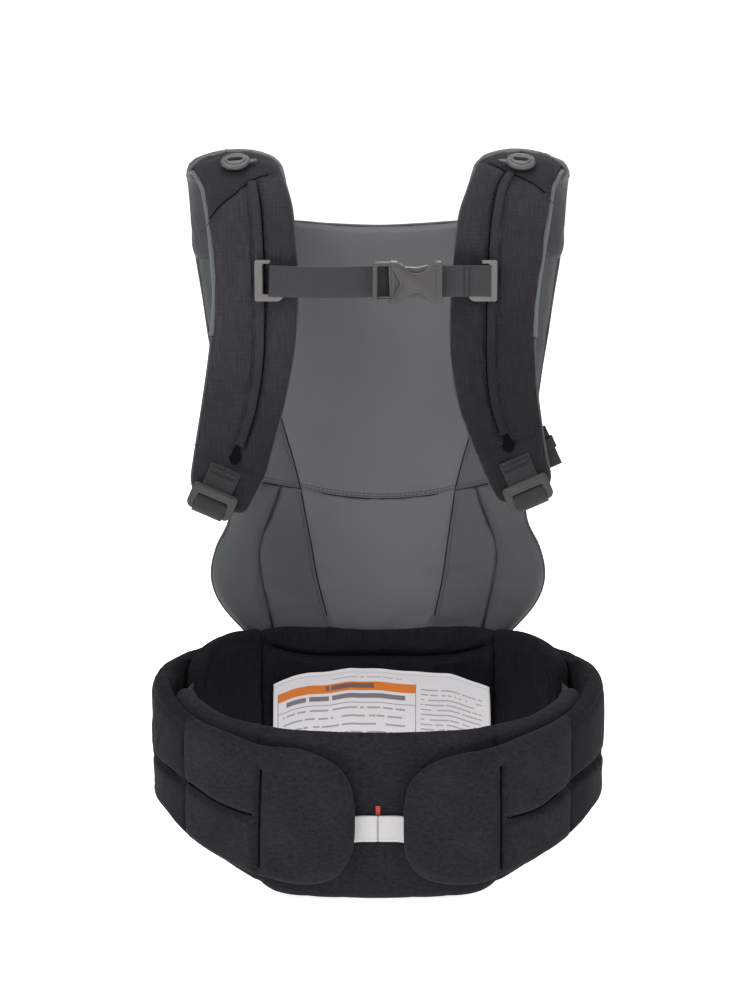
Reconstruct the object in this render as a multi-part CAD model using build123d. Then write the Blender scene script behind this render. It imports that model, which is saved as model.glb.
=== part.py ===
from build123d import *
import math
import os

# A soft baby carrier standing on its waist belt, in millimetres.
# +X is to the right seen from the wearer's back, +Y points from the wearer's back
# to the baby panel, and +Z is up. The origin is the bottom centre of the belt.

# waist belt
beltWidth = 362.0
beltDepth = 240.0
beltCorner = 118.0
outerThick = 16.0
ringGap = 2.0
innerThick = 18.0
innerInset = outerThick + ringGap
bellyHalf = 100.0
bellyHeight = 158.0
frontHalf = 120.0
frontHeight = 148.0
hipLow = 52.0
hipHigh = 150.0
sideSeamY = -13.0
lumbarEndY = 5.0
lumbarHalf = 165.0
lumbarTopMid = 133.0
lumbarTopSide = 142.0
lumbarFootHalf = 50.0
lumbarFootSide = 30.0
bellyWingY = 40.0
bellyFoot = 6.0
linkLow = 104.0
linkHigh = 142.0

# outline of a front wing in X and Z, from the hip over the tip and back
wingOutline = [
    (190, 152), (166, 145), (143, 138), (118, 131), (90, 127), (60, 125), (41, 117), (28, 106),
    (21.5, 92), (20, 77), (20, 49), (23, 36), (31, 23), (45, 17), (62, 16), (80, 19),
    (101, 24), (128, 32), (149, 41), (168, 49), (190, 54),
]
wingSpine = ((62, 71), (190, 103))

# padding
skin = 2.5
fit = 0.3

# shoulder straps
strapThick = 14.0
strapFaceY = -22.0
apexY = 27.0
apexZ = 566.0
frontBend = apexY - strapFaceY
rearBend = 80.0
webThick = 1.5
webWide = 24.0

# baby panel
panelNear = 95.0
panelThick = 12.0
bolsterThick = 16.0
panelFoot = 164.0
seamMid = 272.0
seamSide = 292.0
seamHalf = 121.0
earTop = apexZ - rearBend
panelTop = 500.0

# sternum strap with its side-release buckle
sternumZ = 473.0
ringNear = -30.0
ringDepth = 4.0
ringTall = 31.0
ringWide = 23.0
ringOffset = 5.0
railX = {"left": -89.0, "right": 87.0}
railWide = 4.0
railProud = 3.0
bucklePlateNear = -43.5
buckleFar = -32.0
plate = 2.0
buckleHalf = 16.0
socketEnd = 49.0

# ladder locks
lockWide = 36.0
lockTall = 20.0
lockDepth = 5.0
lockTurn = 24.0
lockPlace = {"left": (-129.5, 299.5), "right": (117.0, 306.5)}

sideSign = {"left": -1, "right": 1}
reach = 400.0

os.makedirs("parts", exist_ok=True)


def save(name, shape):
    export_step(shape, f"parts/{name}.step")


def slab(face, near, far):
    """A face drawn in X and Z, made solid from y = near to y = far."""
    return extrude(Plane.XZ.offset(-far) * face, far - near)


def across(face):
    """A face drawn in Y and Z, made solid all the way across in X."""
    return extrude(Plane.YZ * face, reach, both=True)


def block(x0, x1, y0, y1, z0, z1):
    centre = Pos((x0 + x1) / 2, (y0 + y1) / 2, (z0 + z1) / 2)
    return centre * Box(x1 - x0, y1 - y0, z1 - z0)


def ring(inset, thick):
    """The belt's rounded plan, drawn in by inset, as a tall band of one thickness."""
    outside = RectangleRounded(beltWidth - 2 * inset, beltDepth - 2 * inset, beltCorner - inset)
    inset += thick
    inside = RectangleRounded(beltWidth - 2 * inset, beltDepth - 2 * inset, beltCorner - inset)
    return extrude(outside - inside, bellyHeight + 10)


def padPair(inset, thick, bound):
    """A padded cover and its foam core; bound(margin) is the pad's end shape, drawn in."""
    cover = ring(inset, thick) & bound(0)
    cover -= ring(inset + skin, thick - 2 * skin) & bound(skin)
    gap = skin + fit
    core = ring(inset + gap, thick - 2 * gap) & bound(gap)
    return cover, core


# ---- waist belt: belly side -------------------------------------------------

def bellyBound(margin):
    half = bellyHalf - margin
    return block(-half, half, 0, reach, bellyFoot + margin, bellyHeight - margin)


bellyCover, bellyFoam = padPair(innerInset, innerThick, bellyBound)
save("belly_pad_cover", bellyCover)
save("belly_pad_foam", bellyFoam)


def frontBound(margin):
    half = frontHalf - margin
    return block(-half, half, 0, reach, margin, frontHeight - margin)


frontCover, frontFoam = padPair(0, outerThick, frontBound)
save("front_belt_cover", frontCover)
save("front_belt_foam", frontFoam)

for side, sign in sideSign.items():
    wingFace = Pos(bellyWingY + 60, 90) * RectangleRounded(120, 120, 30)
    xs = sorted([sign * (bellyHalf + fit), sign * reach])
    wingBlock = across(wingFace) & block(*xs, 0, reach, 0, reach)
    save(f"{side}_belly_wing", ring(innerInset, innerThick) & wingBlock)

labelHigh = 134.0
labelTall = 98.0
labelHalf = 93.0
labelCentre = 3.5
labelBlock = block(
    labelCentre - labelHalf, labelCentre + labelHalf, 0, reach, labelHigh - labelTall, labelHigh
)
save("care_label", ring(innerInset + innerThick + 0.2, 0.8) & labelBlock)

# ---- waist belt: hips, lumbar pad and the webbing between them ---------------

for side, sign in sideSign.items():
    def hipBound(margin):
        # from the front belt round the hip to the side seam
        xs = sorted([sign * (frontHalf + fit + margin), sign * reach])
        return block(*xs, sideSeamY + fit + margin, reach, hipLow + margin, hipHigh - margin)

    hipCover, hipFoam = padPair(0, outerThick, hipBound)
    save(f"{side}_hip_cover", hipCover)
    save(f"{side}_hip_foam", hipFoam)

    xs = sorted([sign * 100, sign * reach])
    linkBlock = block(*xs, lumbarEndY + fit, bellyWingY - fit, linkLow, linkHigh)
    save(f"{side}_link_webbing", ring(innerInset + 7, 3) & linkBlock)


def lumbarBound(margin):
    side = lumbarTopSide - margin
    foot = lumbarFootSide + margin
    top = ThreePointArc((-lumbarHalf, side), (0, lumbarTopMid - margin), (lumbarHalf, side))
    low = Polyline(
        (lumbarHalf, foot), (lumbarFootHalf, margin), (-lumbarFootHalf, margin), (-lumbarHalf, foot)
    )
    ends = Line((lumbarHalf, side), (lumbarHalf, foot))
    ends += Line((-lumbarHalf, foot), (-lumbarHalf, side))
    return slab(make_face(top + low + ends), -reach, lumbarEndY - margin)


lumbarCover, lumbarFoam = padPair(innerInset, innerThick, lumbarBound)
save("lumbar_pad_cover", lumbarCover)
save("lumbar_pad_foam", lumbarFoam)

patchThick = 0.7
for side, sign in sideSign.items():
    xs = sorted([sign * 12, sign * 112])
    loopBlock = block(*xs, -reach, 0, 30, 112)
    save(f"{side}_loop_patch", ring(innerInset - 0.1 - patchThick, patchThick) & loopBlock)

save("centre_marker_tab", block(-1.8, 1.8, -103.6, -102.2, 70, 77.5))

# ---- front wings: knit pads with hook patches and pull tabs ------------------



def towardsSpine(point, margin):
    """A point of the wing's outline, moved in by margin towards the wing's middle line."""
    first = Vector(*wingSpine[0])
    along = Vector(*wingSpine[1]) - first
    here = Vector(*point)
    share = (here - first).dot(along) / along.dot(along)
    middle = first + along * min(max(share, 0), 1)
    moved = here + (middle - here).normalized() * margin
    return moved.X, moved.Y


for side, sign in sideSign.items():
    def wingBound(margin):
        points = [towardsSpine(point, margin) for point in wingOutline]
        points = [(sign * x, z) for x, z in points]
        edge = Spline(*points)
        face = make_face(edge + Line(points[-1], points[0]))
        return slab(face, -reach, sideSeamY - fit - margin)

    wingCover, wingFoam = padPair(0, outerThick, wingBound)
    save(f"{side}_wing_cover", wingCover)
    save(f"{side}_wing_foam", wingFoam)

    xs = sorted([sign * 34, sign * 108])
    hookBlock = block(*xs, -reach, 0, 34, 108)
    save(f"{side}_hook_patch", ring(outerThick + 0.1, patchThick) & hookBlock)

    xs = sorted([sign * 0.4, sign * 17.5])
    save(f"{side}_pull_tab", block(*xs, -106.2, -104.6, 49, 70))

# ---- baby panel ---------------------------------------------------------------

seamArc = ThreePointArc((-seamHalf, seamSide), (0, seamMid), (seamHalf, seamSide))
rightEdge = Spline((seamHalf, seamSide), (130, 350), (138, 413), (148, earTop))
leftEdge = Spline((-148, earTop), (-138, 413), (-130, 350), (-seamHalf, seamSide))
shoulderStep = Polyline((148, earTop), (66, earTop), (66, 503))
shoulderStepLeft = Polyline((-66, 503), (-66, earTop), (-148, earTop))
neckArc = ThreePointArc((66, 503), (0, panelTop), (-66, 503))
upperFace = make_face(seamArc + rightEdge + shoulderStep + neckArc + shoulderStepLeft + leftEdge)
save("upper_panel", slab(upperFace, panelNear, panelNear + panelThick))

lowSeam = ThreePointArc((-seamHalf, seamSide - 0.4), (0, seamMid - 0.4), (seamHalf, seamSide - 0.4))
legPoints = [(seamHalf, seamSide - 0.4), (121, 265), (134, 232), (139, 208), (131, 180), (113, panelFoot)]
rightLeg = Spline(*legPoints)
leftLeg = Spline(*[(-x, z) for x, z in reversed(legPoints)])
foot = Line((113, panelFoot), (-113, panelFoot))
lowerFace = make_face(lowSeam + rightLeg + foot + leftLeg)
seatRight = Polyline((78, 300), (81, 284), (98, 234), (99, 215), (90, 160))
seatLeft = Polyline((-90, 160), (-99, 215), (-98, 234), (-81, 284), (-78, 300))
seatFace = make_face(seatRight + Line((90, 160), (-90, 160)) + seatLeft + Line((-78, 300), (78, 300)))
save("seat_panel", slab(lowerFace & seatFace, panelNear, panelNear + panelThick))

bolsterFaces = lowerFace - offset(seatFace, fit)
for side, sign in sideSign.items():
    half = Pos(sign * reach / 2, reach / 2) * Rectangle(reach, 2 * reach)
    bolsterNear = panelNear + (panelThick - bolsterThick) / 2
    save(f"{side}_leg_bolster", slab(bolsterFaces & half, bolsterNear, bolsterNear + bolsterThick))

# rear half of each shoulder strap, sewn to the panel's ears

for side, sign in sideSign.items():
    outerEdge = Polyline((sign * 149, earTop + fit), (sign * 150, 545), (sign * 144, 570))
    innerEdge = Polyline((sign * 76, 570), (sign * 66, 535), (sign * 66, earTop + fit))
    top = Line((sign * 144, 570), (sign * 76, 570))
    bottom = Line((sign * 66, earTop + fit), (sign * 149, earTop + fit))
    rearOutline = slab(make_face(outerEdge + top + innerEdge + bottom), apexY + fit, reach)
    bend = Circle(rearBend) - Circle(rearBend - strapThick)
    bend &= Pos(rearBend / 2, rearBend / 2) * Rectangle(rearBend, rearBend)
    rearBand = across(Pos(apexY, apexZ - rearBend) * bend)
    save(f"{side}_rear_strap", rearBand & rearOutline)

    anchorX = sign * 117
    save(f"{side}_webbing_anchor", block(anchorX - 13, anchorX + 13, 93.6, 94.8, 316, 350))

# ---- shoulder straps, front half -----------------------------------------------

strapEdges = {
    "left": {
        "outer": [(-145, 566), (-131.6, 522), (-126, 460), (-129.5, 418), (-142, 339), (-146, 306)],
        "inner": [(-106, 289), (-87, 323), (-66.5, 403), (-61.5, 460), (-65.4, 522), (-75, 566)],
        "rail": [(-89, 516), (-89, 416), (-101, 363), (-110, 338)],
    },
    "right": {
        "outer": [(143, 566), (131.7, 510), (122, 452), (121, 408), (128, 354), (135, 312)],
        "inner": [(95, 301), (78, 331), (59, 388), (56, 435), (62, 510), (75, 566)],
        "rail": [(87, 516), (87, 400), (92, 374), (100, 346)],
    },
}


def strapBand(margin):
    """Side view of a front strap: a straight drop, then a quarter bend to the apex."""
    bend = Circle(frontBend - margin) - Circle(frontBend - strapThick + margin)
    bend &= Pos(-frontBend / 2, frontBend / 2) * Rectangle(frontBend, frontBend)
    bendZ = apexZ - frontBend
    drop = Pos(strapFaceY + strapThick / 2, bendZ / 2) * Rectangle(strapThick - 2 * margin, bendZ)
    return across((Pos(apexY, bendZ) * bend) + drop)


def strapOutline(side, margin):
    # drawn in by moving the long edges towards each other and the lower end up
    inward = -sideSign[side] * margin
    outerPoints = [(x + inward, z) for x, z in strapEdges[side]["outer"]]
    innerPoints = [(x - inward, z) for x, z in strapEdges[side]["inner"]]
    outerPoints[-1] = (outerPoints[-1][0], outerPoints[-1][1] + margin)
    innerPoints[0] = (innerPoints[0][0], innerPoints[0][1] + margin)
    top = Line(innerPoints[-1], outerPoints[0])
    bottom = Line(outerPoints[-1], innerPoints[0])
    face = make_face(Spline(*outerPoints) + bottom + Spline(*innerPoints) + top)
    return slab(face, -reach, apexY - fit - margin)


def turned(side, face, place):
    """A face set square to the ladder lock's bars."""
    return Pos(*place) * Rot(0, 0, lockTurn * sideSign[side]) * face


for side, sign in sideSign.items():
    cover = strapBand(0) & strapOutline(side, 0)
    cover -= strapBand(skin) & strapOutline(side, skin)
    save(f"{side}_strap_cover", cover)
    gap = skin + fit
    save(f"{side}_strap_foam", strapBand(gap) & strapOutline(side, gap))

    railLine = Polyline(*strapEdges[side]["rail"])
    railFace = trace(railLine, line_width=railWide)
    save(f"{side}_strap_rail", slab(railFace, strapFaceY - railProud, strapFaceY))

    # the webbing that holds the lock, sewn on the strap's face
    lockX, lockZ = lockPlace[side]
    turn = math.radians(lockTurn * sign)
    upX = -math.sin(turn)
    upZ = math.cos(turn)
    hold = lockTall / 2 + 0.6 + 11
    holdFace = turned(side, Rectangle(webWide, 22), (lockX + upX * hold, lockZ + upZ * hold))
    save(f"{side}_lock_webbing", slab(holdFace, strapFaceY - 1.8, strapFaceY - 0.1))

    # the adjuster webbing, from under the lock back to the panel
    start = Vector(lockX - upX * 10, strapFaceY - 0.5, lockZ - upZ * 10 - 4)
    end = Vector(sign * 117, 91.8, 332)
    run = end - start
    wide = Vector(math.cos(turn), 0, math.sin(turn))
    section = Plane(origin=start, x_dir=wide, z_dir=run) * Rectangle(webWide, webThick)
    save(f"{side}_adjuster_webbing", extrude(section, run.length))

# ladder locks: a frame with two slots

for side in sideSign:
    frameFace = RectangleRounded(lockWide, lockTall, 4)
    for slotZ in (3.9, -3.9):
        frameFace -= Pos(0, slotZ - 1.2) * Rectangle(lockWide - 9, 5)
    placed = turned(side, frameFace, lockPlace[side])
    save(f"{side}_ladder_lock", slab(placed, -24.3 - lockDepth, -24.3))

# the spare webbing, folded and held by an elastic keeper at the right strap's edge

tailPlace = Pos(132, -3.4, 338) * Rot(0, -25, 0)
tailWide = 12
tailThick = 5.5
save("right_webbing_tail", tailPlace * Box(tailWide, tailThick, 32))
keeperBand = Box(tailWide + 3, tailThick + 3, 9) - Box(tailWide + 0.6, tailThick + 0.6, 9)
save("right_webbing_keeper", tailPlace * Pos(0, 0, 2) * keeperBand)

# hood toggles: round buttons on the shoulder apex, each with a slot

toggleAngle = 57.0
toggleX = 109.0
toggleRadius = 9.5
toggleThick = 4.0
for side, sign in sideSign.items():
    lean = math.radians(toggleAngle)
    outward = Vector(0, -math.cos(lean), math.sin(lean))
    root = Vector(sign * toggleX, apexY, apexZ - frontBend) + outward * (frontBend + 1.1)
    seat = Plane(origin=root, x_dir=(math.cos(0.25), 0, 0), z_dir=outward)
    button = Circle(toggleRadius) - Rot(0, 0, 12 * -sign) * Rectangle(9.5, 3.2)
    save(f"{side}_hood_toggle", extrude(seat * button, toggleThick))

# ---- sternum strap --------------------------------------------------------------

clipTop = sternumZ + ringTall / 2
clipFoot = sternumZ - ringTall / 2
for side, sign in sideSign.items():
    rail = railX[side]
    # the clip's ring reaches from outside the rail towards the middle
    outerX = rail + sign * ringOffset
    ringX = outerX - sign * ringWide / 2
    clipFace = RectangleRounded(ringWide, ringTall, 2.5) - Rectangle(ringWide - 11, ringTall - 8)
    clip = slab(Pos(ringX, sternumZ) * clipFace, ringNear, ringNear + ringDepth)
    shoeNear = ringNear + ringDepth
    shoe = block(rail - 6.5, rail + 6.5, shoeNear, strapFaceY - 0.4, sternumZ - 8, sternumZ + 8)
    groove = railWide / 2 + 0.5
    shoe -= block(rail - groove, rail + groove, strapFaceY - railProud - 0.4, 0, 0, reach * 2)
    save(f"{side}_slider_clip", clip + shoe)

webNear = buckleFar + 0.2
webHalf = webWide / 2
leftWeb = block(railX["left"] + 6, 8, webNear, webNear + webThick, sternumZ - webHalf, sternumZ + webHalf)
rightWeb = block(40, railX["right"] - 6, webNear, webNear + webThick, sternumZ - webHalf, sternumZ + webHalf)
save("left_sternum_webbing", leftWeb)
save("right_sternum_webbing", rightWeb)

# ---- buckle: socket shell, plug frame and its two sprung prongs -------------------

plateFace = make_face(
    Polyline(
        (8, buckleHalf), (15, buckleHalf), (27, 9), (33, 9), (42, buckleHalf), (socketEnd, buckleHalf),
        (socketEnd, -buckleHalf), (42, -buckleHalf), (33, -9), (27, -9), (15, -buckleHalf),
        (8, -buckleHalf), (17, 0), (8, buckleHalf),
    )
)
plateFace = Pos(0, sternumZ) * plateFace
socket = slab(plateFace, bucklePlateNear, bucklePlateNear + plate)
socket += slab(plateFace, buckleFar - plate, buckleFar)
socket += block(
    44.5, socketEnd, bucklePlateNear, buckleFar, sternumZ - buckleHalf, sternumZ + buckleHalf
)
for sign in (-1, 1):
    zs = sorted([sternumZ + sign * 13.3, sternumZ + sign * buckleHalf])
    socket += block(12.6, 16, bucklePlateNear, buckleFar, *zs)
save("buckle_socket", socket)

plugNear = bucklePlateNear + plate + 0.3
plugFar = buckleFar - plate - 0.3
plugFace = Pos(8, 0) * RectangleRounded(24, 31, 3)
plugFace &= Pos(3.9, 0) * Rectangle(16.2, 31)
plugFace -= Pos(3.2, 0) * Rectangle(8.4, 25)
plugFace -= Pos(10.6, 0) * Rectangle(2.4, 25)
plugFace += Pos(15.8, 0) * Rectangle(8.4, 25.6)
plugFace += Pos(30, 0) * Rectangle(22, 5)
plugBody = slab(Pos(0, sternumZ) * plugFace, plugNear, plugFar)
save("buckle_plug", plugBody)

prongStart = 20.3
for name, sign in {"upper": 1, "lower": -1}.items():
    prongFace = make_face(
        Polyline(
            (prongStart, sign * 8.2), (prongStart, sign * 11.6), (30, sign * 11.2), (37, sign * 12.9),
            (42, sign * 10.5), (42, sign * 7.2), (36, sign * 7.6), (prongStart, sign * 8.2),
        )
    )
    save(f"{name}_prong", slab(Pos(0, sternumZ) * prongFace, plugNear + 0.5, plugFar - 0.5))
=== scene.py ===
import bmesh
import bpy
import math
import numpy as np
from mathutils import Matrix, Vector, noise
from mathutils.bvhtree import BVHTree
from mathutils.geometry import delaunay_2d_cdt


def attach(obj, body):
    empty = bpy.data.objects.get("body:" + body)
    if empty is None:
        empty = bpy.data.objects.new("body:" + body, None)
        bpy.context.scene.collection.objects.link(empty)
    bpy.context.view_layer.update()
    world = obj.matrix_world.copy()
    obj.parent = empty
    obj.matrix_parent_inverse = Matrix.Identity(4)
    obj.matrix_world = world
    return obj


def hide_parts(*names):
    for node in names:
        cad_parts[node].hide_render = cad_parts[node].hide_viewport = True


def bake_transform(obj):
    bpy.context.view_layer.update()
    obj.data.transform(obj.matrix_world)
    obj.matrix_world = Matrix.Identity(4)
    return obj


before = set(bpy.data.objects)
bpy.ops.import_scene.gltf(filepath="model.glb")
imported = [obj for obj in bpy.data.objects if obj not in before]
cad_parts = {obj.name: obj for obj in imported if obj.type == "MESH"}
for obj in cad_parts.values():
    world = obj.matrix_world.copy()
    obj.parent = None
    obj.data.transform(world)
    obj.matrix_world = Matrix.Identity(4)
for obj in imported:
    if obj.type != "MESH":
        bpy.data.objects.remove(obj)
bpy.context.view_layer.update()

scene = bpy.context.scene
sides = {"left": -1, "right": 1}

# camera and light

view = {"target": (0, 0.017, 0.2656), "distance": 2.0, "tilt": 14, "lens": 90, "sensor": 36,
        "shift": (-0.003, 0.030)}


def makeCamera():
    data = bpy.data.cameras.new("camera")
    data.lens = view["lens"]
    data.sensor_width = view["sensor"]
    data.shift_x, data.shift_y = view["shift"]
    camera = bpy.data.objects.new("camera", data)
    scene.collection.objects.link(camera)
    tilt = math.radians(view["tilt"])
    back = Vector((0, -math.cos(tilt), math.sin(tilt))) * view["distance"]
    camera.location = Vector(view["target"]) + back
    camera.rotation_euler = (math.radians(90) - tilt, 0, 0)
    scene.camera = camera


lights = {
    "keyLight": {"place": (-1.1, -1.7, 2.0), "size": 1.2, "power": 34},
    "fillLight": {"place": (1.6, -1.6, 1.3), "size": 1.6, "power": 9},
    "topLight": {"place": (0, -0.1, 2.2), "size": 1.2, "power": 22},
    "backLight": {"place": (0.4, 1.8, 1.5), "size": 1.4, "power": 16},
}


def makeLights():
    for name, facts in lights.items():
        data = bpy.data.lights.new(name, "AREA")
        data.energy = facts["power"]
        data.size = facts["size"]
        lamp = bpy.data.objects.new(name, data)
        lamp.location = facts["place"]
        aim = Vector((0, 0, 0.28)) - Vector(facts["place"])
        lamp.rotation_euler = aim.to_track_quat("-Z", "Y").to_euler()
        scene.collection.objects.link(lamp)
    world = bpy.data.worlds.new("studio")
    world.use_nodes = True
    world.node_tree.nodes["Background"].inputs["Color"].default_value = (1, 1, 1, 1)
    world.node_tree.nodes["Background"].inputs["Strength"].default_value = 0.42
    scene.world = world
    scene.view_settings.view_transform = "Standard"


makeCamera()
makeLights()
print("camera and lights are set")

# materials


def feed(socket, value):
    if hasattr(value, "is_linked"):
        link(value, socket)
    else:
        socket.default_value = value


def addNode(owner, kind, **settings):
    # owner is any node or socket of the material; a setting is an attribute or an input
    node = owner.id_data.nodes.new(kind)
    for key, value in settings.items():
        if hasattr(node, key):
            setattr(node, key, value)
        else:
            feed(node.inputs[key], value)
    return node


def link(start, end):
    start.id_data.links.new(start, end)


def stretched(owner, scale, source="UV"):
    # pattern coordinates in metres times scale
    coord = addNode(owner, "ShaderNodeTexCoord")
    return addNode(owner, "ShaderNodeMapping", Scale=scale, Vector=coord.outputs[source]).outputs["Vector"]


def ramp(value, stops):
    node = addNode(value, "ShaderNodeValToRGB")
    element = node.color_ramp.elements
    while len(element) < len(stops):
        element.new(0.5)
    for spot, (place, color) in zip(element, stops):
        spot.position = place
        spot.color = color if len(color) == 4 else (*color, 1)
    link(value, node.inputs["Fac"])
    return node.outputs["Color"]


def mixed(first, second, factor):
    node = addNode(factor, "ShaderNodeMix", data_type="RGBA")
    for value, socket in ((first, 6), (second, 7), (factor, 0)):
        feed(node.inputs[socket], value)
    return node.outputs[2]


def computed(operation, first, second=0.0):
    node = addNode(first, "ShaderNodeMath", operation=operation)
    feed(node.inputs[0], first)
    feed(node.inputs[1], second)
    return node.outputs[0]


def times(first, second):
    return computed("MULTIPLY", first, second)


def plus(first, second):
    return computed("ADD", first, second)


def baseMaterial(name, roughness, sheen=0.0, specular=0.3):
    material = bpy.data.materials.new(name)
    material.use_nodes = True
    shader = material.node_tree.nodes["Principled BSDF"]
    shader.inputs["Roughness"].default_value = roughness
    shader.inputs["Sheen Weight"].default_value = sheen
    shader.inputs["Sheen Roughness"].default_value = 0.5
    shader.inputs["Specular IOR Level"].default_value = specular
    return material, shader


def bumped(shader, height, distance, strength=0.6):
    bump = addNode(shader, "ShaderNodeBump", Strength=strength, Distance=distance, Height=height)
    link(bump.outputs["Normal"], shader.inputs["Normal"])


def noiseValue(vector, scale, detail=3.0, rough=0.55):
    node = addNode(vector, "ShaderNodeTexNoise", Scale=scale, Detail=detail, Roughness=rough, Vector=vector)
    return node.outputs["Fac"]


def grain(shader, u, v, detail, rough=0.55):
    # noise with u and v spots to the metre across and along the cloth
    return noiseValue(stretched(shader, (u, v, 1)), 1.0, detail, rough)


waveLength = 0.314  # length of one band of the wave texture at scale 1


def waves(shader, pitch, direction):
    vector = stretched(shader, (1, 1, 1))
    node = addNode(vector, "ShaderNodeTexWave", bands_direction=direction, Scale=waveLength / pitch,
                   Distortion=0.6, Vector=vector)
    return node.outputs["Fac"]


def slubRipstop(name, dark, light, gridPitch=0.0034, sheen=0.08, streak=1.0, gloss=0.04, paintedShade=None):
    # ripstop cloth: streaky yarn across and along, with a faint square grid, and optionally a painted shade
    # that darkens it towards the bottom and towards +x
    material, shader = baseMaterial(name, 0.85, sheen, gloss)
    along = grain(shader, 1500, 60, 3)
    across = grain(shader, 60, 1500, 3)
    cloudy = grain(shader, 18, 14, 2)
    yarn = plus(times(along, 0.62 * streak), times(across, 0.38 * streak))
    tone = plus(times(yarn, 0.8), times(cloudy, 0.2))
    color = ramp(tone, [(0.36, dark), (0.62, light)])
    gridU, gridV = waves(shader, gridPitch, "X"), waves(shader, gridPitch, "Y")
    grid = computed("MAXIMUM", computed("POWER", gridU, 14), computed("POWER", gridV, 14))
    lightGrid = tuple(c * 1.5 for c in light) + (1,)
    cloth = mixed(color, lightGrid, times(grid, 0.13))
    # painted shade: darker towards low z and high x, standing in for less light on the lower straps and on
    # the right strap
    if paintedShade:
        where = addNode(shader, "ShaderNodeTexCoord")
        apart = addNode(shader, "ShaderNodeSeparateXYZ", Vector=where.outputs["Object"])
        reach = plus(apart.outputs["Z"], times(apart.outputs["X"], -0.5))
        deep = tuple(c * 0.2 for c in dark) + (1,)
        cloth = mixed(deep, cloth, ramp(reach, paintedShade))
    link(cloth, shader.inputs["Base Color"])
    bumped(shader, plus(times(yarn, 0.8), times(grid, 0.25)), 0.0005, 0.75)
    return material


def knitCloth(name, dark, light):
    # brushed knit: fine heather mottling with a soft fuzz
    material, shader = baseMaterial(name, 0.9, 0.04, 0.04)
    fine = grain(shader, 1400, 1400, 4, 0.7)
    patchy = grain(shader, 260, 420, 4, 0.6)
    cloudy = grain(shader, 30, 30, 2)
    tone = plus(times(fine, 0.5), plus(times(patchy, 0.35), times(cloudy, 0.15)))
    link(ramp(tone, [(0.38, dark), (0.66, light)]), shader.inputs["Base Color"])
    bumped(shader, tone, 0.0007, 0.7)
    return material


def plainWeave(name, dark, light, roughness=0.62, pitch=0.0006, sheen=0.05, gloss=0.28):
    # smooth tight weave with slow shading in the cloth
    material, shader = baseMaterial(name, roughness, sheen, gloss)
    tone = plus(times(grain(shader, 9, 7, 3), 0.7), times(grain(shader, 1900, 1900, 2), 0.3))
    link(ramp(tone, [(0.35, dark), (0.65, light)]), shader.inputs["Base Color"])
    bumped(shader, times(waves(shader, pitch, "X"), waves(shader, pitch, "Y")), 0.00012, 0.5)
    return material


def ribbed(name, dark, light, pitch=0.0011, roughness=0.6):
    # webbing: ribs across its width and a fine yarn grain
    material, shader = baseMaterial(name, roughness, 0.1, 0.3)
    tone = plus(times(waves(shader, pitch, "Y"), 0.45), times(grain(shader, 1600, 800, 3), 0.55))
    link(ramp(tone, [(0.25, dark), (0.75, light)]), shader.inputs["Base Color"])
    bumped(shader, tone, 0.0003, 0.7)
    return material


def moulded(name, color, roughness=0.42):
    # moulded plastic with a fine texture, and its sharp edges made lighter as a painted highlight
    material, shader = baseMaterial(name, roughness, 0.0, 0.45)
    vector = stretched(shader, (1, 1, 1), "Object")
    # painted highlight: sharp edges are made lighter
    edge = addNode(shader, "ShaderNodeNewGeometry")
    paintedEdgeLight = ramp(edge.outputs["Pointiness"], [(0.5, (0, 0, 0)), (0.6, (1, 1, 1))])
    tone = ramp(noiseValue(vector, 90, 2), [(0.3, tuple(c * 0.88 for c in color)), (0.7, color)])
    edgeHighlightTone = tuple(min(1, c * 1.5) for c in color) + (1,)
    link(mixed(tone, edgeHighlightTone, times(paintedEdgeLight, 0.5)), shader.inputs["Base Color"])
    bumped(shader, noiseValue(vector, 2600, 3), 0.00012, 0.5)
    return material


# painted shade for the straps: dark low down and on the right strap, full colour at the top
strapPaintedShade = [(0.30, (0.40, 0.40, 0.40)), (0.38, (0.52, 0.52, 0.52)), (0.47, (0.92, 0.92, 0.92)),
              (0.53, (1, 1, 1))]
strapFabric = slubRipstop("strapFabric", (0.0150, 0.0142, 0.0170), (0.0360, 0.0344, 0.0396), sheen=0.03,
                          gloss=0.1, paintedShade=strapPaintedShade)
# the yoke panel's own cloth, made lighter as painted light where the shoulder tops catch the light
litYokeFabric = slubRipstop("litYokeFabric", (0.0190, 0.0183, 0.0215), (0.0385, 0.0368, 0.0425), sheen=0.03,
                         streak=0.6, gloss=0.1)
beltRipstop = slubRipstop("beltRipstop", (0.0042, 0.0049, 0.0062), (0.0150, 0.0158, 0.0185), sheen=0.02)
beltKnit = knitCloth("beltKnit", (0.0078, 0.0078, 0.0093), (0.0272, 0.0267, 0.0305))
panelFabric = plainWeave("panelFabric", (0.089, 0.092, 0.096), (0.109, 0.1125, 0.117))
panelSide = plainWeave("panelSide", (0.053, 0.059, 0.0605), (0.068, 0.075, 0.0765))
# painted shade: a darker copy of the panel cloth, standing in for the shade on the rear strap pads
shadedEarFabric = plainWeave("shadedEarFabric", (0.037, 0.042, 0.0435), (0.048, 0.054, 0.0555))
seamShadow = plainWeave("seamShadow", (0.010, 0.011, 0.012), (0.016, 0.018, 0.019), pitch=0.0009, sheen=0,
                        gloss=0.02)
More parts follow.
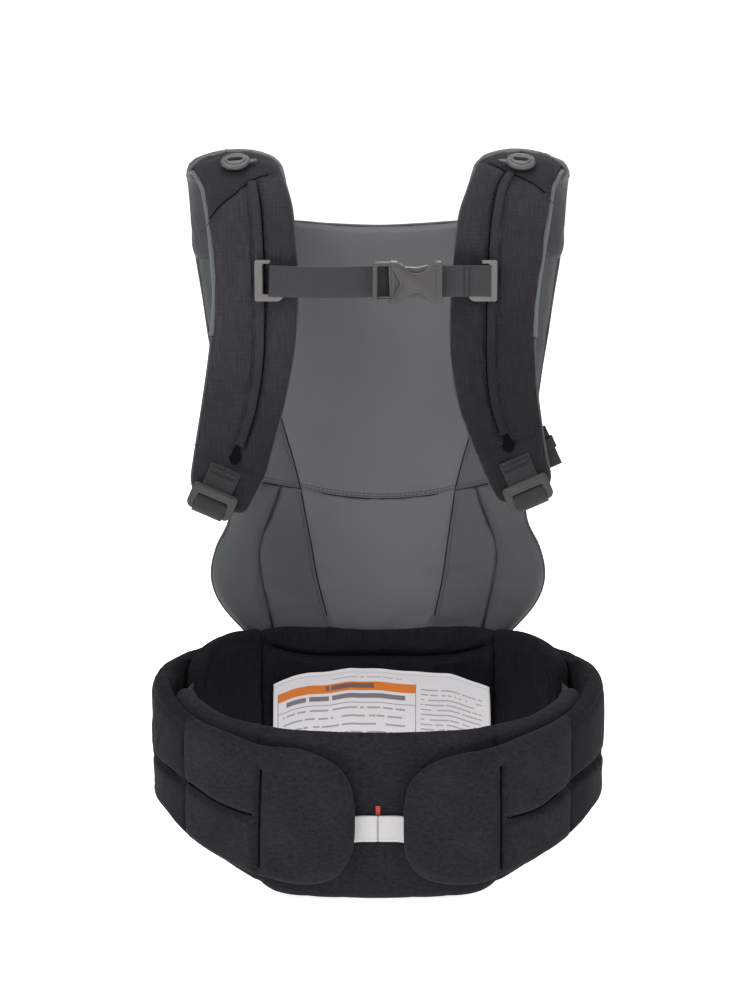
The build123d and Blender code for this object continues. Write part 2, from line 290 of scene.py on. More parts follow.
# black for the keyholes and the toggle's bar, and painted shade for the dark lines in the belt, belly and
# strap seams
blackPartsAndSeamShade = plainWeave("blackPartsAndSeamShade", (0.0025, 0.0027, 0.003), (0.004, 0.0043, 0.005), pitch=0.0009, sheen=0,
                       gloss=0.02)
binding = plainWeave("binding", (0.075, 0.082, 0.085), (0.102, 0.111, 0.114), pitch=0.0009)
piping = plainWeave("piping", (0.040, 0.043, 0.045), (0.058, 0.062, 0.064), pitch=0.0009)
strapWebbing = ribbed("strapWebbing", (0.0150, 0.0145, 0.0170), (0.0315, 0.0303, 0.0345))
darkWebbing = ribbed("darkWebbing", (0.0065, 0.0063, 0.0075), (0.0190, 0.0185, 0.0215))
tabWebbing = ribbed("tabWebbing", (0.41, 0.40, 0.405), (0.57, 0.56, 0.565), pitch=0.0008)
hookLoop = knitCloth("hookLoop", (0.005, 0.005, 0.006), (0.018, 0.018, 0.02))
redMarker = ribbed("redMarker", (0.35, 0.02, 0.02), (0.55, 0.05, 0.04), pitch=0.0008)
blackThread = ribbed("blackThread", (0.004, 0.004, 0.005), (0.012, 0.012, 0.013), pitch=0.0006)
greyThread = ribbed("greyThread", (0.035, 0.038, 0.040), (0.055, 0.06, 0.062), pitch=0.0006)
whiteThread = ribbed("whiteThread", (0.7, 0.7, 0.72), (0.9, 0.9, 0.92), pitch=0.0006)
clipPlastic = moulded("clipPlastic", (0.110, 0.105, 0.1025))
bucklePlastic = moulded("bucklePlastic", (0.048, 0.0445, 0.0445))
lockPlastic = moulded("lockPlastic", (0.023, 0.022, 0.0228))
togglePlastic = moulded("togglePlastic", (0.062, 0.0615, 0.0625))
print("materials are made")

# outlines and surfaces


def smoothLine(points, step, closed=False):
    # Catmull-Rom curve through points, resampled evenly at about step
    pts = np.array(points, float)
    count = len(pts)
    last = count if closed else count - 1
    curve = []
    for i in range(last):
        if closed:
            p0, p1, p2, p3 = (pts[(i + k) % count] for k in (-1, 0, 1, 2))
        else:
            p1, p2 = pts[i], pts[i + 1]
            p0 = pts[i - 1] if i else 2 * p1 - p2
            p3 = pts[i + 2] if i + 2 < count else 2 * p2 - p1
        for t in np.linspace(0, 1, 24, endpoint=False):
            curve.append(0.5 * (2 * p1 + (p2 - p0) * t + (2 * p0 - 5 * p1 + 4 * p2 - p3) * t * t
                                + (3 * p1 - p0 - 3 * p2 + p3) * t ** 3))
    curve.append(pts[0] if closed else pts[-1])
    curve = np.array(curve)
    run = np.concatenate([[0], np.cumsum(np.linalg.norm(np.diff(curve, axis=0), axis=1))])
    number = max(2, int(round(run[-1] / step)))
    even = np.linspace(0, run[-1], number + 1)
    line = np.stack([np.interp(even, run, curve[:, k]) for k in range(curve.shape[1])], axis=1)
    return line[:-1] if closed else line


def joinRuns(runs, step):
    # a closed outline from smooth runs that meet at corners. Points are in millimetres
    outline = []
    for run in runs:
        outline.extend(smoothLine(np.array(run) / 1000, step)[:-1])
    return np.array(outline)


def distanceTo(points, line, closed):
    starts = line if closed else line[:-1]
    ends = np.roll(line, -1, 0) if closed else line[1:]
    best = np.full(len(points), 9.0)
    for a, b in zip(starts, ends):
        d = b - a
        t = np.clip(((points - a) @ d) / max(d @ d, 1e-14), 0, 1)
        best = np.minimum(best, np.linalg.norm(points - a - t[:, None] * d, axis=1))
    return best


def spread(outline, rows, seams, step):
    # points inside an outline: rows that follow its edge and its seams, and an even field between
    before, after = np.roll(outline, 1, 0), np.roll(outline, -1, 0)
    tangent = after - before
    tangent /= np.maximum(np.linalg.norm(tangent, axis=1), 1e-9)[:, None]
    area = 0.5 * np.sum(outline[:, 0] * after[:, 1] - after[:, 0] * outline[:, 1])
    inward = np.stack([-tangent[:, 1], tangent[:, 0]], 1) * (1 if area > 0 else -1)
    found = [outline]
    for depth in rows:
        ring = outline + inward * depth
        ring = ring[distanceTo(ring, outline, True) > depth * 0.93]
        found.append(ring)
    rowDepth = rows[-1]
    seamPoints = []
    for seam in seams:
        line = smoothLine(np.array(seam["line"]) / 1000, step * 0.8)
        way = np.gradient(line, axis=0)
        way /= np.maximum(np.linalg.norm(way, axis=1), 1e-9)[:, None]
        normal = np.stack([-way[:, 1], way[:, 0]], 1)
        for part in (0, 0.6, -0.6, 1.2, -1.2, 2.0, -2.0):
            offset = part * seam["width"]
            row = line + normal * offset
            deep = distanceTo(row, outline, True) > rowDepth + step * 0.4
            seamPoints.extend(row[insideOf(row, outline) & deep])
    if seamPoints:
        found.append(np.array(seamPoints))
    low, high = outline.min(0), outline.max(0)
    grid = []
    high = high + step
    rowCount = 0
    v = low[1]
    while v < high[1]:
        u = low[0] + (step / 2 if rowCount % 2 else 0)
        while u < high[0]:
            grid.append((u, v))
            u += step
        v += step * 0.866
        rowCount += 1
    grid = np.array(grid)
    grid = grid[insideOf(grid, outline)]
    grid = grid[distanceTo(grid, outline, True) > rowDepth + step * 0.55]
    for seam in seams:
        line = smoothLine(np.array(seam["line"]) / 1000, step)
        grid = grid[distanceTo(grid, line, False) > seam["width"] * 0.9 + step * 0.45]
    found.append(grid)
    return np.concatenate(found)


def insideOf(points, outline):
    inside = np.zeros(len(points), bool)
    x, y = points[:, 0], points[:, 1]
    for (x0, y0), (x1, y1) in zip(outline, np.roll(outline, -1, 0)):
        if y0 == y1:
            continue
        crosses = ((y0 > y) != (y1 > y)) & (x < (x1 - x0) * (y - y0) / (y1 - y0) + x0)
        inside ^= crosses
    return inside


def newPiece(name, mesh):
    piece = bpy.data.objects.new(name, mesh)
    scene.collection.objects.link(piece)
    return piece


def turnOutward(mesh, merge=0.0):
    work = bmesh.new()
    work.from_mesh(mesh)
    if merge:
        bmesh.ops.remove_doubles(work, verts=work.verts, dist=merge)
    bmesh.ops.recalc_face_normals(work, faces=work.faces)
    work.to_mesh(mesh)
    work.free()


def finishMesh(name, verts, faces, material, uv=None):
    mesh = bpy.data.meshes.new(name)
    mesh.from_pydata([tuple(v) for v in verts], [], [tuple(f) for f in faces])
    if uv is not None:
        layer = mesh.uv_layers.new(name="UVMap")
        corners = np.zeros(len(mesh.loops), np.int32)
        mesh.loops.foreach_get("vertex_index", corners)
        layer.data.foreach_set("uv", np.array(uv, np.float32)[corners].ravel())
    mesh.materials.append(material)
    mesh.polygons.foreach_set("use_smooth", [True] * len(mesh.polygons))
    mesh.validate()
    return newPiece(name, mesh)


def crease(point, size, seed):
    return noise.noise(Vector((point[0] / size[0], point[1] / size[1], seed)))


def softPad(name, outline, place, material, seams, half, roll, step, puff=0.0, ruffle=(), simulate=None,
            zone=None):
    # a sewn pad: two cloth faces that meet at a rolled edge, drawn in at each seam
    rows = [roll * (1 - math.cos(math.radians(a))) for a in (24, 42, 60, 76, 90)]
    flat = spread(outline, rows, seams, step)
    edgeCount = len(outline)
    found = delaunay_2d_cdt([Vector(p) for p in flat], [], [list(range(edgeCount))], 1, 1e-6)
    coords = np.array([tuple(p) for p in found[0]])
    origins = found[3]
    isEdge = np.array([any(k < edgeCount for k in group) for group in origins])
    depth = distanceTo(coords, outline, True)
    depth[isEdge] = 0
    rise = half * np.sqrt(np.clip(1 - (1 - np.clip(depth / roll, 0, 1)) ** 2, 0, 1))
    if puff:
        broad = np.clip(depth / max(depth.max(), 1e-6), 0, 1)
        rise = rise + puff * np.sqrt(broad) * np.clip(depth / roll, 0, 1)
    near = np.full(len(coords), 9.0)
    for seam in seams:
        line = smoothLine(np.array(seam["line"]) / 1000, step)
        away = distanceTo(coords, line, False)
        near = np.minimum(near, away / seam["width"])
        rise = rise - seam["depth"] * np.exp(-(away / seam["width"]) ** 2)
    bump = np.zeros(len(coords))
    for size, strength, seed in ruffle:
        values = np.array([crease(p, size, seed) for p in coords])
        bump += strength * values * np.clip(depth / roll, 0, 1)
    thinnest = 0.0012
    rise = np.where(isEdge, 0, np.maximum(rise, thinnest))
    front, back, verts, uv = {}, {}, [], []
    for i, (s, t) in enumerate(coords):
        front[i] = len(verts)
        verts.append(place(s, t, rise[i] + bump[i]))
        uv.append((s, t))
        if isEdge[i]:
            back[i] = front[i]
        else:
            back[i] = len(verts)
            verts.append(place(s, t, -rise[i] + bump[i] * 0.5))
            uv.append((s, t))
    faces = []
    for tri in found[2]:
        a, b, c = tri
        u, v, w = coords[a], coords[b], coords[c]
        if (v[0] - u[0]) * (w[1] - u[1]) - (w[0] - u[0]) * (v[1] - u[1]) < 0:
            a, c = c, a
        faces.append((front[a], front[b], front[c]))
        if not (isEdge[a] and isEdge[b] and isEdge[c]):
            faces.append((back[c], back[b], back[a]))
    piece = finishMesh(name, verts, faces, material, uv)
    if zone:
        other, test = zone
        piece.data.materials.append(other)
        for face in piece.data.polygons:
            middle = np.mean([uv[i] for i in face.vertices], axis=0)
            face.material_index = 1 if test(*middle) else 0
    if simulate:
        held = np.zeros(len(verts))
        for i in range(len(coords)):
            weight = 1.0 if isEdge[i] else max(0.0, 1 - near[i] / 1.3)
            held[front[i]] = max(held[front[i]], weight)
            held[back[i]] = max(held[back[i]], weight)
        inflate(piece, held, **simulate)
    return piece


def inflate(piece, held, pressure, cap, slack, frames=18):
    # let pressure fill the pad while its edge and seams are held, and keep every point within the cap
    group = piece.vertex_groups.new(name="held")
    for index in np.nonzero(held > 0.01)[0]:
        group.add([int(index)], float(held[index]), "REPLACE")
    cloth = piece.modifiers.new("Cloth", "CLOTH")
    settings = cloth.settings
    settings.quality = 4
    settings.mass = 0.25
    settings.use_pressure = True
    settings.uniform_pressure_force = pressure
    settings.effector_weights.gravity = 0
    settings.vertex_group_mass = "held"
    settings.shrink_min = -slack
    settings.tension_stiffness = 12
    settings.bending_stiffness = 0.4
    settings.air_damping = 4
    cloth.collision_settings.use_collision = False
    cloth.point_cache.frame_start = 1
    cloth.point_cache.frame_end = frames
    rest = np.array([v.co for v in piece.data.vertices])
    for number in range(1, frames + 1):
        scene.frame_set(number)
    shaped = piece.evaluated_get(bpy.context.evaluated_depsgraph_get())
    moved = np.array([v.co for v in shaped.data.vertices])
    shift = moved - rest
    size = np.linalg.norm(shift, axis=1)
    scale = cap * np.tanh(size / cap) / np.maximum(size, 1e-9)
    final = rest + shift * scale[:, None]
    piece.modifiers.remove(cloth)
    piece.vertex_groups.clear()
    piece.data.vertices.foreach_set("co", final.ravel())
    piece.data.update()
    scene.frame_set(1)


def refine(piece):
    smooth = piece.modifiers.new("Smooth", "SUBSURF")
    smooth.levels = 1
    smooth.render_levels = 1
    applyModifiers(piece)


def applyModifiers(piece):
    shaped = piece.evaluated_get(bpy.context.evaluated_depsgraph_get())
    mesh = bpy.data.meshes.new_from_object(shaped)
    old = piece.data
    piece.modifiers.clear()
    piece.data = mesh
    mesh.name = old.name


def sweep(name, path, wides, section, material, closedPath=False):
    # carry a closed section along a path; wides gives the section's first axis at each point
    path = np.array(path, float)
    wides = np.array(wides, float)
    if wides.ndim == 1:
        wides = np.tile(wides, (len(path), 1))
    tangent = np.gradient(path, axis=0)
    if closedPath:
        tangent = np.roll(path, -1, 0) - np.roll(path, 1, 0)
    tangent /= np.maximum(np.linalg.norm(tangent, axis=1), 1e-12)[:, None]
    wides = wides - (wides * tangent).sum(1)[:, None] * tangent
    wides /= np.linalg.norm(wides, axis=1)[:, None]
    thick = np.cross(tangent, wides)
    run = np.concatenate([[0], np.cumsum(np.linalg.norm(np.diff(path, axis=0), axis=1))])
    count = len(section)
    edges = [math.dist(section[i], section[(i + 1) % count]) for i in range(count)]
    around = np.concatenate([[0], np.cumsum(edges)])
    verts, uv = [], []
    for p, w, n, along in zip(path, wides, thick, run):
        for (a, b), turn in zip(section, around):
            verts.append(p + w * a + n * b)
            uv.append((a if abs(a) > 1e-5 else turn, along))
    faces = []
    rings = len(path)
    for i in range(rings if closedPath else rings - 1):
        j = (i + 1) % rings
        for k in range(count):
            m = (k + 1) % count
            faces.append((i * count + k, i * count + m, j * count + m, j * count + k))
    if not closedPath:
        faces.append(tuple(reversed(range(count))))
        faces.append(tuple(range((rings - 1) * count, rings * count)))
    piece = finishMesh(name, verts, faces, material, uv)
    turnOutward(piece.data)
    return piece


def bandSection(width, thick, corner=0.0004):
    # rounded flat section of webbing or tape
    a, b, c = width / 2, thick / 2, min(corner, thick / 2 * 0.9)
    bend = c * 0.3
    top = [(x * (a - c), b) for x in np.linspace(-1, 1, 7)]
    half = top + [(a - bend, b - bend), (a, b - c), (a, -b + c), (a - bend, -b + bend)]
    return half + [(-x, -z) for x, z in half]


def roundSection(radius, count=8, flatten=1.0):
    turns = [2 * math.pi * k / count for k in range(count)]
    return [(radius * math.cos(t), radius * flatten * math.sin(t)) for t in turns]


def cord(name, path, radius, material, flatten=1.0, wide=(0, 0, 1)):
    return sweep(name, path, wide, roundSection(radius, 8, flatten), material)


def plate(name, loops, matrix, depth, bevel, material):
    # a flat moulded shape with holes and rounded edges: loops are outlines in metres, the first outside
    data = bpy.data.curves.new(name, "CURVE")
    data.dimensions = "2D"
    data.fill_mode = "BOTH"
    data.extrude = depth / 2 - bevel
    data.bevel_depth = bevel
    data.bevel_resolution = 2
    data.offset = -bevel
    for loop in loops:
        spline = data.splines.new("POLY")
        spline.points.add(len(loop) - 1)
        for point, (x, y) in zip(spline.points, loop):
            point.co = (x, y, 0, 1)
        spline.use_cyclic_u = True
    flat = bpy.data.objects.new(name, data)
    mesh = bpy.data.meshes.new_from_object(flat)
    bpy.data.objects.remove(flat)
    mesh.transform(matrix)
    turnOutward(mesh, 1e-5)
    mesh.materials.clear()
    mesh.materials.append(material)
    mesh.polygons.foreach_set("use_smooth", [True] * len(mesh.polygons))
    mesh.name = name
    piece = newPiece(name, mesh)
    mesh.set_sharp_from_angle(angle=math.radians(38))
    return piece


def roundedLoop(points, radius, count=5):
    # a polygon in millimetres with its corners rounded, returned in metres
    pts = [Vector(p) for p in points]
    loop = []
    for i, here in enumerate(pts):
        before, after = pts[i - 1], pts[(i + 1) % len(pts)]
        reach = min(radius, (here - before).length * 0.45, (after - here).length * 0.45)
        start = here + (before - here).normalized() * reach
        end = here + (after - here).normalized() * reach
        for k in range(count + 1):
            t = k / count
            loop.append((start * (1 - t) ** 2 + here * 2 * t * (1 - t) + end * t * t) / 1000)
    return [tuple(p) for p in loop]


def mergePieces(name, parts):
    # several meshes as one piece
    work = bmesh.new()
    materials = []
    for part in parts:
        start = len(work.faces)
        for material in part.data.materials:
            if material not in materials:
                materials.append(material)
        index = materials.index(part.data.materials[0])
        work.from_mesh(part.data)
        work.faces.ensure_lookup_table()
        for face in work.faces[start:]:
            face.material_index = index
    mesh = bpy.data.meshes.new(name)
    work.to_mesh(mesh)
    work.free()
    for material in materials:
        mesh.materials.append(material)
    for part in parts:
        bpy.data.objects.remove(part)
    return newPiece(name, mesh)


def settle(piece, body, nodes=(), blendTo=None, fill=None):
    # parent a finished piece to its body and hide the model's nodes that it replaces; when blendTo is
    # given, bake its transform instead of parenting it
    if blendTo:
        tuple(blendTo[1])
        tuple(blendTo[2])
        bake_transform(piece)
    else:
        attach(piece, body)
    if nodes:
        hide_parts(*nodes)


def makePad(name, outline, place, material, seams, facts, body, nodes, blendTo=None, zone=None):
    shape = {key: value for key, value in facts.items() if key != "fill"}
    pad = softPad(name, outline, place, material, seams, zone=zone, **shape)
    refine(pad)
    settle(pad, body, nodes, blendTo, facts["fill"])
    return pad


def closeOutline(top, low, step):
    # a pad's outline from its top and bottom edges, with straight ends
    return joinRuns([top, [top[-1], low[0]], low, [low[-1], top[0]]], step)


# waist belt: s runs along the outer face from the near middle, positive to the right, and t is up

beltShape = {"straight": 0.063, "corner": 0.118, "side": 0.004, "half": 0.181, "deep": 0.120}


def beltAt(s, inset):
    # plan point of the belt's ring at arc length s, drawn in by inset
    straight, corner, side = beltShape["straight"], beltShape["corner"], beltShape["side"]
    sign = 1 if s >= 0 else -1
    a = abs(s)
    quarter = corner * math.pi / 2
    radius = corner - inset
    if a < straight:
        x, y = a, -(beltShape["deep"] - inset)
    elif a < straight + quarter:
        turn = (a - straight) / corner
        x, y = straight + radius * math.sin(turn), -side / 2 - radius * math.cos(turn)
    elif a < straight + quarter + side:
        x, y = straight + radius, a - straight - quarter - side / 2
    elif a < straight + 2 * quarter + side:
        turn = (a - straight - quarter - side) / corner
        x, y = straight + radius * math.cos(turn), side / 2 + radius * math.sin(turn)
    else:
        x, y = straight - (a - straight - 2 * quarter - side), beltShape["deep"] - inset
    return sign * x, y


def ringPlace(middle):
    def place(s, t, h):
        x, y = beltAt(s, middle - h)
        return (x, y, t)
    return place


outerPlace = ringPlace(0.008)
innerPlace = ringPlace(0.027)


def mirrored(points, sign):
    return [(sign * s, t) for s, t in points]


def wound(runs, sign):
    # mirror runs for the left side and keep them counterclockwise
    if sign > 0:
        return runs
    return [[(-s, t) for s, t in reversed(run)] for run in reversed(runs)]


belt = {
    "wingTop": {"left": [(-166, 139.8), (-152, 136.8), (-131, 134.8), (-107, 130), (-92.5, 127),
                         (-74.5, 126.2), (-59, 124.6), (-40.3, 117), (-28.2, 108), (-20.6, 95),
                         (-17.6, 77)],
                "right": [(166, 140), (150.5, 137), (132, 134.4), (109.6, 129.9), (93.2, 126),
                          (77.6, 123.4), (62.4, 121), (41.9, 113.8), (28.2, 103), (22.3, 92), (19.6, 75)]},
    "wingLow": {"left": [(-17.6, 77), (-18, 52), (-21.6, 37.5), (-30, 23.5), (-44.7, 16.6), (-60, 15.8),
                         (-79.5, 18.6), (-101, 23.5), (-130, 31.8), (-166, 42)],
                "right": [(19.6, 75), (19.8, 49), (22.6, 36), (32.4, 22.6), (51.7, 16.0), (78.7, 16.4),
                          (102.8, 23.0), (134, 31.8), (166, 41.2)]},
}

creaseAt = {"left": [(-90.6, 109), (-91.4, 92), (-92.4, 69.5), (-93.7, 29)],
            "right": [(95.8, 111), (96, 90), (96.4, 65), (96.9, 28)]}
channelAt = {"left": [(-196, 90.8), (-180, 89.6), (-160.1, 86.6), (-146, 83.4), (-133.1, 79), (-113.9, 75),
                      (-98.5, 72)],
             "right": [(200, 91.2), (180, 90), (164, 86.3), (148.6, 80.3), (127.5, 72.6), (101.3, 69.4)]}


def beltStartEnd(sign):
    return ((sign * 0.181, 0.005, 0.09), (sign * 0.181, -0.030, 0.09))


wingPad = {"half": 0.0082, "roll": 0.0085, "step": 0.0050, "puff": 0.0014, "fill": 0.55,
           "ruffle": [((0.04, 0.03), 0.0005, 3.1)],
           "simulate": {"pressure": 4.0, "cap": 0.0018, "slack": 0.006}}
hipPad = {"half": 0.0082, "roll": 0.0085, "step": 0.0055, "puff": 0.0006, "fill": 0.5,
          "ruffle": [((0.02, 0.04), 0.0007, 5.3), ((0.008, 0.02), 0.0003, 1.7)],
          "simulate": {"pressure": 3.0, "cap": 0.0018, "slack": 0.012}}

for side, sign in sides.items():
    top, low = belt["wingTop"][side], belt["wingLow"][side]
    inset = 6.5
    tipEdge = [(s + sign * inset * max(0, 1 - (abs(s) - 17) / 34), t - inset * min(1, (abs(s) - 17) / 34))
               for s, t in top[2:]]
    tipLow = [(s + sign * inset * max(0, 1 - (abs(s) - 17) / 26), t + inset * min(1, (abs(s) - 17) / 26))
              for s, t in low[:6]]
    edgeSeam = [(s, t - inset) for s, t in top[:2]] + tipEdge + tipLow[1:]
    seams = [
        {"line": creaseAt[side], "depth": 0.0062, "width": 0.0034},
        {"line": [p for p in channelAt[side] if abs(p[0]) < 170], "depth": 0.0046, "width": 0.0030},
        {"line": edgeSeam, "depth": 0.0008, "width": 0.0016},
    ]
    outline = joinRuns([top, low, [low[-1], top[0]]], 0.004)
    makePad(f"{side}_wing_pad", outline, outerPlace, beltKnit, seams, wingPad,
            f"{side}_wing", [f"{side}_wing_cover", f"{side}_wing_foam"])

    hipTop = mirrored([(380, 150), (330, 151), (270, 151), (237, 151), (215, 149), (196, 145.5),
                       (180, 142), (157.5, 138)], sign)
    hipLow = mirrored([(157.5, 40), (177, 45.2), (199, 50.5), (237, 52), (300, 52), (380, 52)], sign)
    channel = [(sign * 240, 91)] + [p for p in channelAt[side] if abs(p[0]) > 158]
    seams = [
        {"line": channel, "depth": 0.0046, "width": 0.0030},
        {"line": [(s, t - inset) for s, t in hipTop], "depth": 0.0012, "width": 0.0018},
        {"line": [(sign * 240, 148), (sign * 240, 54)], "depth": 0.002, "width": 0.0026},
    ]
    start, end = beltStartEnd(sign)
    makePad(f"{side}_hip_pad", closeOutline(hipTop, hipLow, 0.004), outerPlace, beltRipstop, seams, hipPad,
            "belt", [f"{side}_hip_cover", f"{side}_hip_foam"], (f"{side}_wing", start, end))

frontTop = [(379, 146), (400, 147), (440, 148), (500.7, 148), (561.4, 148), (601.4, 147), (622.4, 146)]
frontLow = [(622.4, 2), (600, 0.6), (500.7, 0.3), (400, 0.6), (379, 2)]


def farPlace(middle):
    # as ringPlace, with s running on past the far middle
    whole = 2 * (beltShape["straight"] * 2 + beltShape["corner"] * math.pi + beltShape["side"])

    def place(s, t, h):
        if s > whole / 2:
            s -= whole
        x, y = beltAt(s, middle - h)
        return (x, y, t)
    return place


frontPad = {"half": 0.0078, "roll": 0.0085, "step": 0.006, "fill": 0.5,
            "ruffle": [((0.03, 0.05), 0.0010, 6.4)],
            "simulate": {"pressure": 4.0, "cap": 0.003, "slack": 0.02}}
seams = [{"line": [(385, 74), (500, 72), (616, 74)], "depth": 0.0022, "width": 0.0028},
         {"line": [(385, 139.5), (500, 141.5), (616, 139.5)], "depth": 0.0012, "width": 0.0018}]
makePad("front_belt_pad", closeOutline(frontTop, frontLow, 0.0045), farPlace(0.008), beltRipstop, seams,
        frontPad, "belt", ["front_belt_cover", "front_belt_foam"])

lumbarTop = [(247, 120), (246, 134), (240, 141), (226, 143.5), (190, 143), (164, 141.2), (126, 139),
             (96, 137), (60, 134.6), (0, 132.6)]
lumbarTop = lumbarTop + mirrored(reversed(lumbarTop[:-1]), -1)
lumbarLow = [(-247, 120), (-246, 66), (-240, 52), (-228, 44), (-190, 34), (-140, 21), (-103, 9), (-84, 1.6),
             (-60, -1.6), (-30, -3.2), (0, -3.6)]
lumbarLow = lumbarLow + mirrored(reversed(lumbarLow[:-1]), -1)
lumbarPad = {"half": 0.0088, "roll": 0.009, "step": 0.0058, "puff": 0.0004, "fill": 0.6,
             "ruffle": [((0.05, 0.04), 0.0006, 2.2)],
             "simulate": {"pressure": 3.0, "cap": 0.0014, "slack": 0.004}}
lumbarSeam = [(97, 150), (97.5, 118), (99, 70), (100, 8)]
seams = [{"line": mirrored(lumbarSeam, sign), "depth": 0.0042, "width": 0.002} for sign in (-1, 1)]
makePad("lumbar_pad", joinRuns([lumbarTop, lumbarLow], 0.0045), innerPlace, beltKnit, seams, lumbarPad,
        "belt", ["lumbar_pad_cover", "lumbar_pad_foam"])

bellyTop = [(388, 160.5), (404, 163), (434, 163.6), (470, 162), (500.7, 160.6), (531, 162), (567, 163.4),
            (597, 163), (613.4, 160.5)]
bellyLow = [(613.4, 6), (500.7, 6), (388, 6)]
rollSeam = [(384, 152), (402.8, 148.5), (420, 144), (437.9, 141.2), (462, 139.6), (500.7, 139.8),
            (539, 139.6), (563.5, 141.2), (581, 144), (598.6, 148.5), (616, 152)]
bellyPad = {"half": 0.0088, "roll": 0.0095, "step": 0.005, "puff": 0.0004, "fill": 0.6,
            "ruffle": [((0.02, 0.04), 0.0012, 4.6), ((0.008, 0.016), 0.0004, 7.9)],
            "simulate": {"pressure": 3.0, "cap": 0.002, "slack": 0.015}}
bellyPlace = farPlace(0.027)
seams = [{"line": rollSeam, "depth": 0.0060, "width": 0.0036}]
belly = makePad("belly_pad", closeOutline(bellyTop, bellyLow, 0.0045), bellyPlace, beltRipstop, seams,
                bellyPad, "belt", ["belly_pad_cover", "belly_pad_foam"])

flapPad = {"half": 0.0082, "roll": 0.009, "step": 0.0055, "fill": 0.5,
           "ruffle": [((0.02, 0.04), 0.0010, 3.3), ((0.008, 0.016), 0.0004, 2.9)],
           "simulate": {"pressure": 3.0, "cap": 0.002, "slack": 0.015}}
for side, sign in sides.items():
    top = mirrored([(287, 60), (284, 100), (285, 128), (290, 145), (300, 153), (320, 159.5), (345, 163),
                    (371, 164.2), (391, 163)], sign)
    low = mirrored([(391, 30), (300, 30)], sign)
    seam = mirrored([(295, 60), (292, 100), (293, 126), (298, 138), (308, 146), (325, 152), (350, 156),
                     (388, 155.5)], sign)
    makePad(f"{side}_belly_wing_pad", closeOutline(top, low, 0.0045), innerPlace, beltRipstop,
            [{"line": seam, "depth": 0.0018, "width": 0.0022}], flapPad,
            "belt", [f"{side}_belly_wing"])
    path = [(*beltAt(sign * s / 1000, 0.0265), 0.1175) for s in range(238, 300, 4)]
    webbing = sweep(f"{side}_link_strap", path, (0, 0, 1), bandSection(0.033, 0.0016), darkWebbing)
    settle(webbing, "belt", [f"{side}_link_webbing"])
print("belt pads are made")

# baby panel, in X and Z


def panelPlace(s, t, h):
    return (s, 0.101 - h, t)


panelEdges = {
    "seam": [(-121, 291.5), (-96, 286), (-64.6, 280.2), (-31.5, 274.2), (0, 271.6), (31.5, 273.2),
             (64, 279), (96, 286), (121, 291.5)],
    "leg": [(121, 293), (121, 276), (124, 252), (134, 231), (138.8, 211), (137, 194), (128.3, 177),
            (111, 157), (104, 151)],
    "bolster": [(78, 301), (81.2, 283.1), (90, 258), (98.3, 234.4), (98.8, 214.6), (95, 190), (89.8, 165),
                (88, 150)],
    "ear": [(121, 290), (125, 318), (130, 350), (134, 382), (138.3, 411), (142, 440), (146.5, 470),
            (148.5, 487)],
    "neck": [(72, 502.8), (54, 501.6), (33.9, 500.2), (0, 498.8), (-38.8, 500.2), (-56, 501.6),
             (-72, 502.8)],
}


def flip(points):
    return [(-x, z) for x, z in reversed(points)]


seamUp = panelEdges["seam"]
ear = [(121, 289.5)] + panelEdges["ear"][1:]
upperRuns = [[(x, z - 2.0) for x, z in seamUp], ear, [(148.5, 487), (73, 487)], [(73, 487), (72, 502.8)],
             panelEdges["neck"], [(-72, 502.8), (-73, 487)], [(-73, 487), (-148.5, 487)], flip(ear)]
centreSeam = [(42.9, 150), (47.5, 172), (54, 205), (57.4, 232), (61.5, 262), (64, 281), (70, 306),
              (77, 331), (88, 372), (100, 420), (108, 470)]


def centreAt(sign):
    # the long seam on one side; the left one runs inward towards its foot
    lean = 5.5 if sign < 0 else 0
    return [(sign * (x - lean * max(0, 279 - z) / 127), z) for x, z in centreSeam]


def besideCentre(s, t):
    # true outside the two long seams, where the cloth is darker
    line = sorted((z, abs(x)) for x, z in centreAt(-1 if s < 0 else 1))
    return abs(s) * 1000 > np.interp(t * 1000, [z for z, x in line], [x for z, x in line])


upperPad = {"half": 0.0062, "roll": 0.0050, "step": 0.0065, "puff": 0.0006, "fill": 0.3,
            "ruffle": [((0.06, 0.05), 0.0012, 1.3), ((0.02, 0.03), 0.0002, 5.5)],
            "simulate": {"pressure": 2.5, "cap": 0.002, "slack": 0.004}}
seams = [{"line": mirrored([p for p in centreSeam if p[1] > 270], sign), "depth": 0.0018, "width": 0.0026}
         for sign in (-1, 1)]
upper = makePad("upper_panel_cloth", joinRuns(upperRuns, 0.005), panelPlace, panelFabric, seams, upperPad,
                "panel", ["upper_panel"], zone=(panelSide, besideCentre))

seatPad = {"half": 0.0066, "roll": 0.0042, "step": 0.0055, "puff": 0.0008, "fill": 0.35,
           "ruffle": [((0.05, 0.03), 0.0010, 2.7), ((0.014, 0.010), 0.0003, 6.2)],
           "simulate": {"pressure": 3.0, "cap": 0.0018, "slack": 0.008}}
hinge = ("panel", (0, 0.101, 0.150), (0, 0.101, 0.172))
seatTop = [(x, z + 3.4) for x, z in reversed(seamUp) if abs(x) < 70]
seatRuns = [[(-88, 150), (88, 150)], panelEdges["bolster"][:1:-1] + [(83, 285)],
            [(83, 285)] + seatTop + [(-83, 285)], [(-83, 285)] + mirrored(panelEdges["bolster"][1:], -1)]
seams = [{"line": [p for p in centreAt(sign) if p[1] < 282], "depth": 0.0018, "width": 0.0022}
         for sign in (-1, 1)]
seat = makePad("seat_panel_cloth", joinRuns(seatRuns, 0.0045), panelPlace, panelFabric, seams, seatPad,
               "belt", ["seat_panel"], hinge, (panelSide, besideCentre))

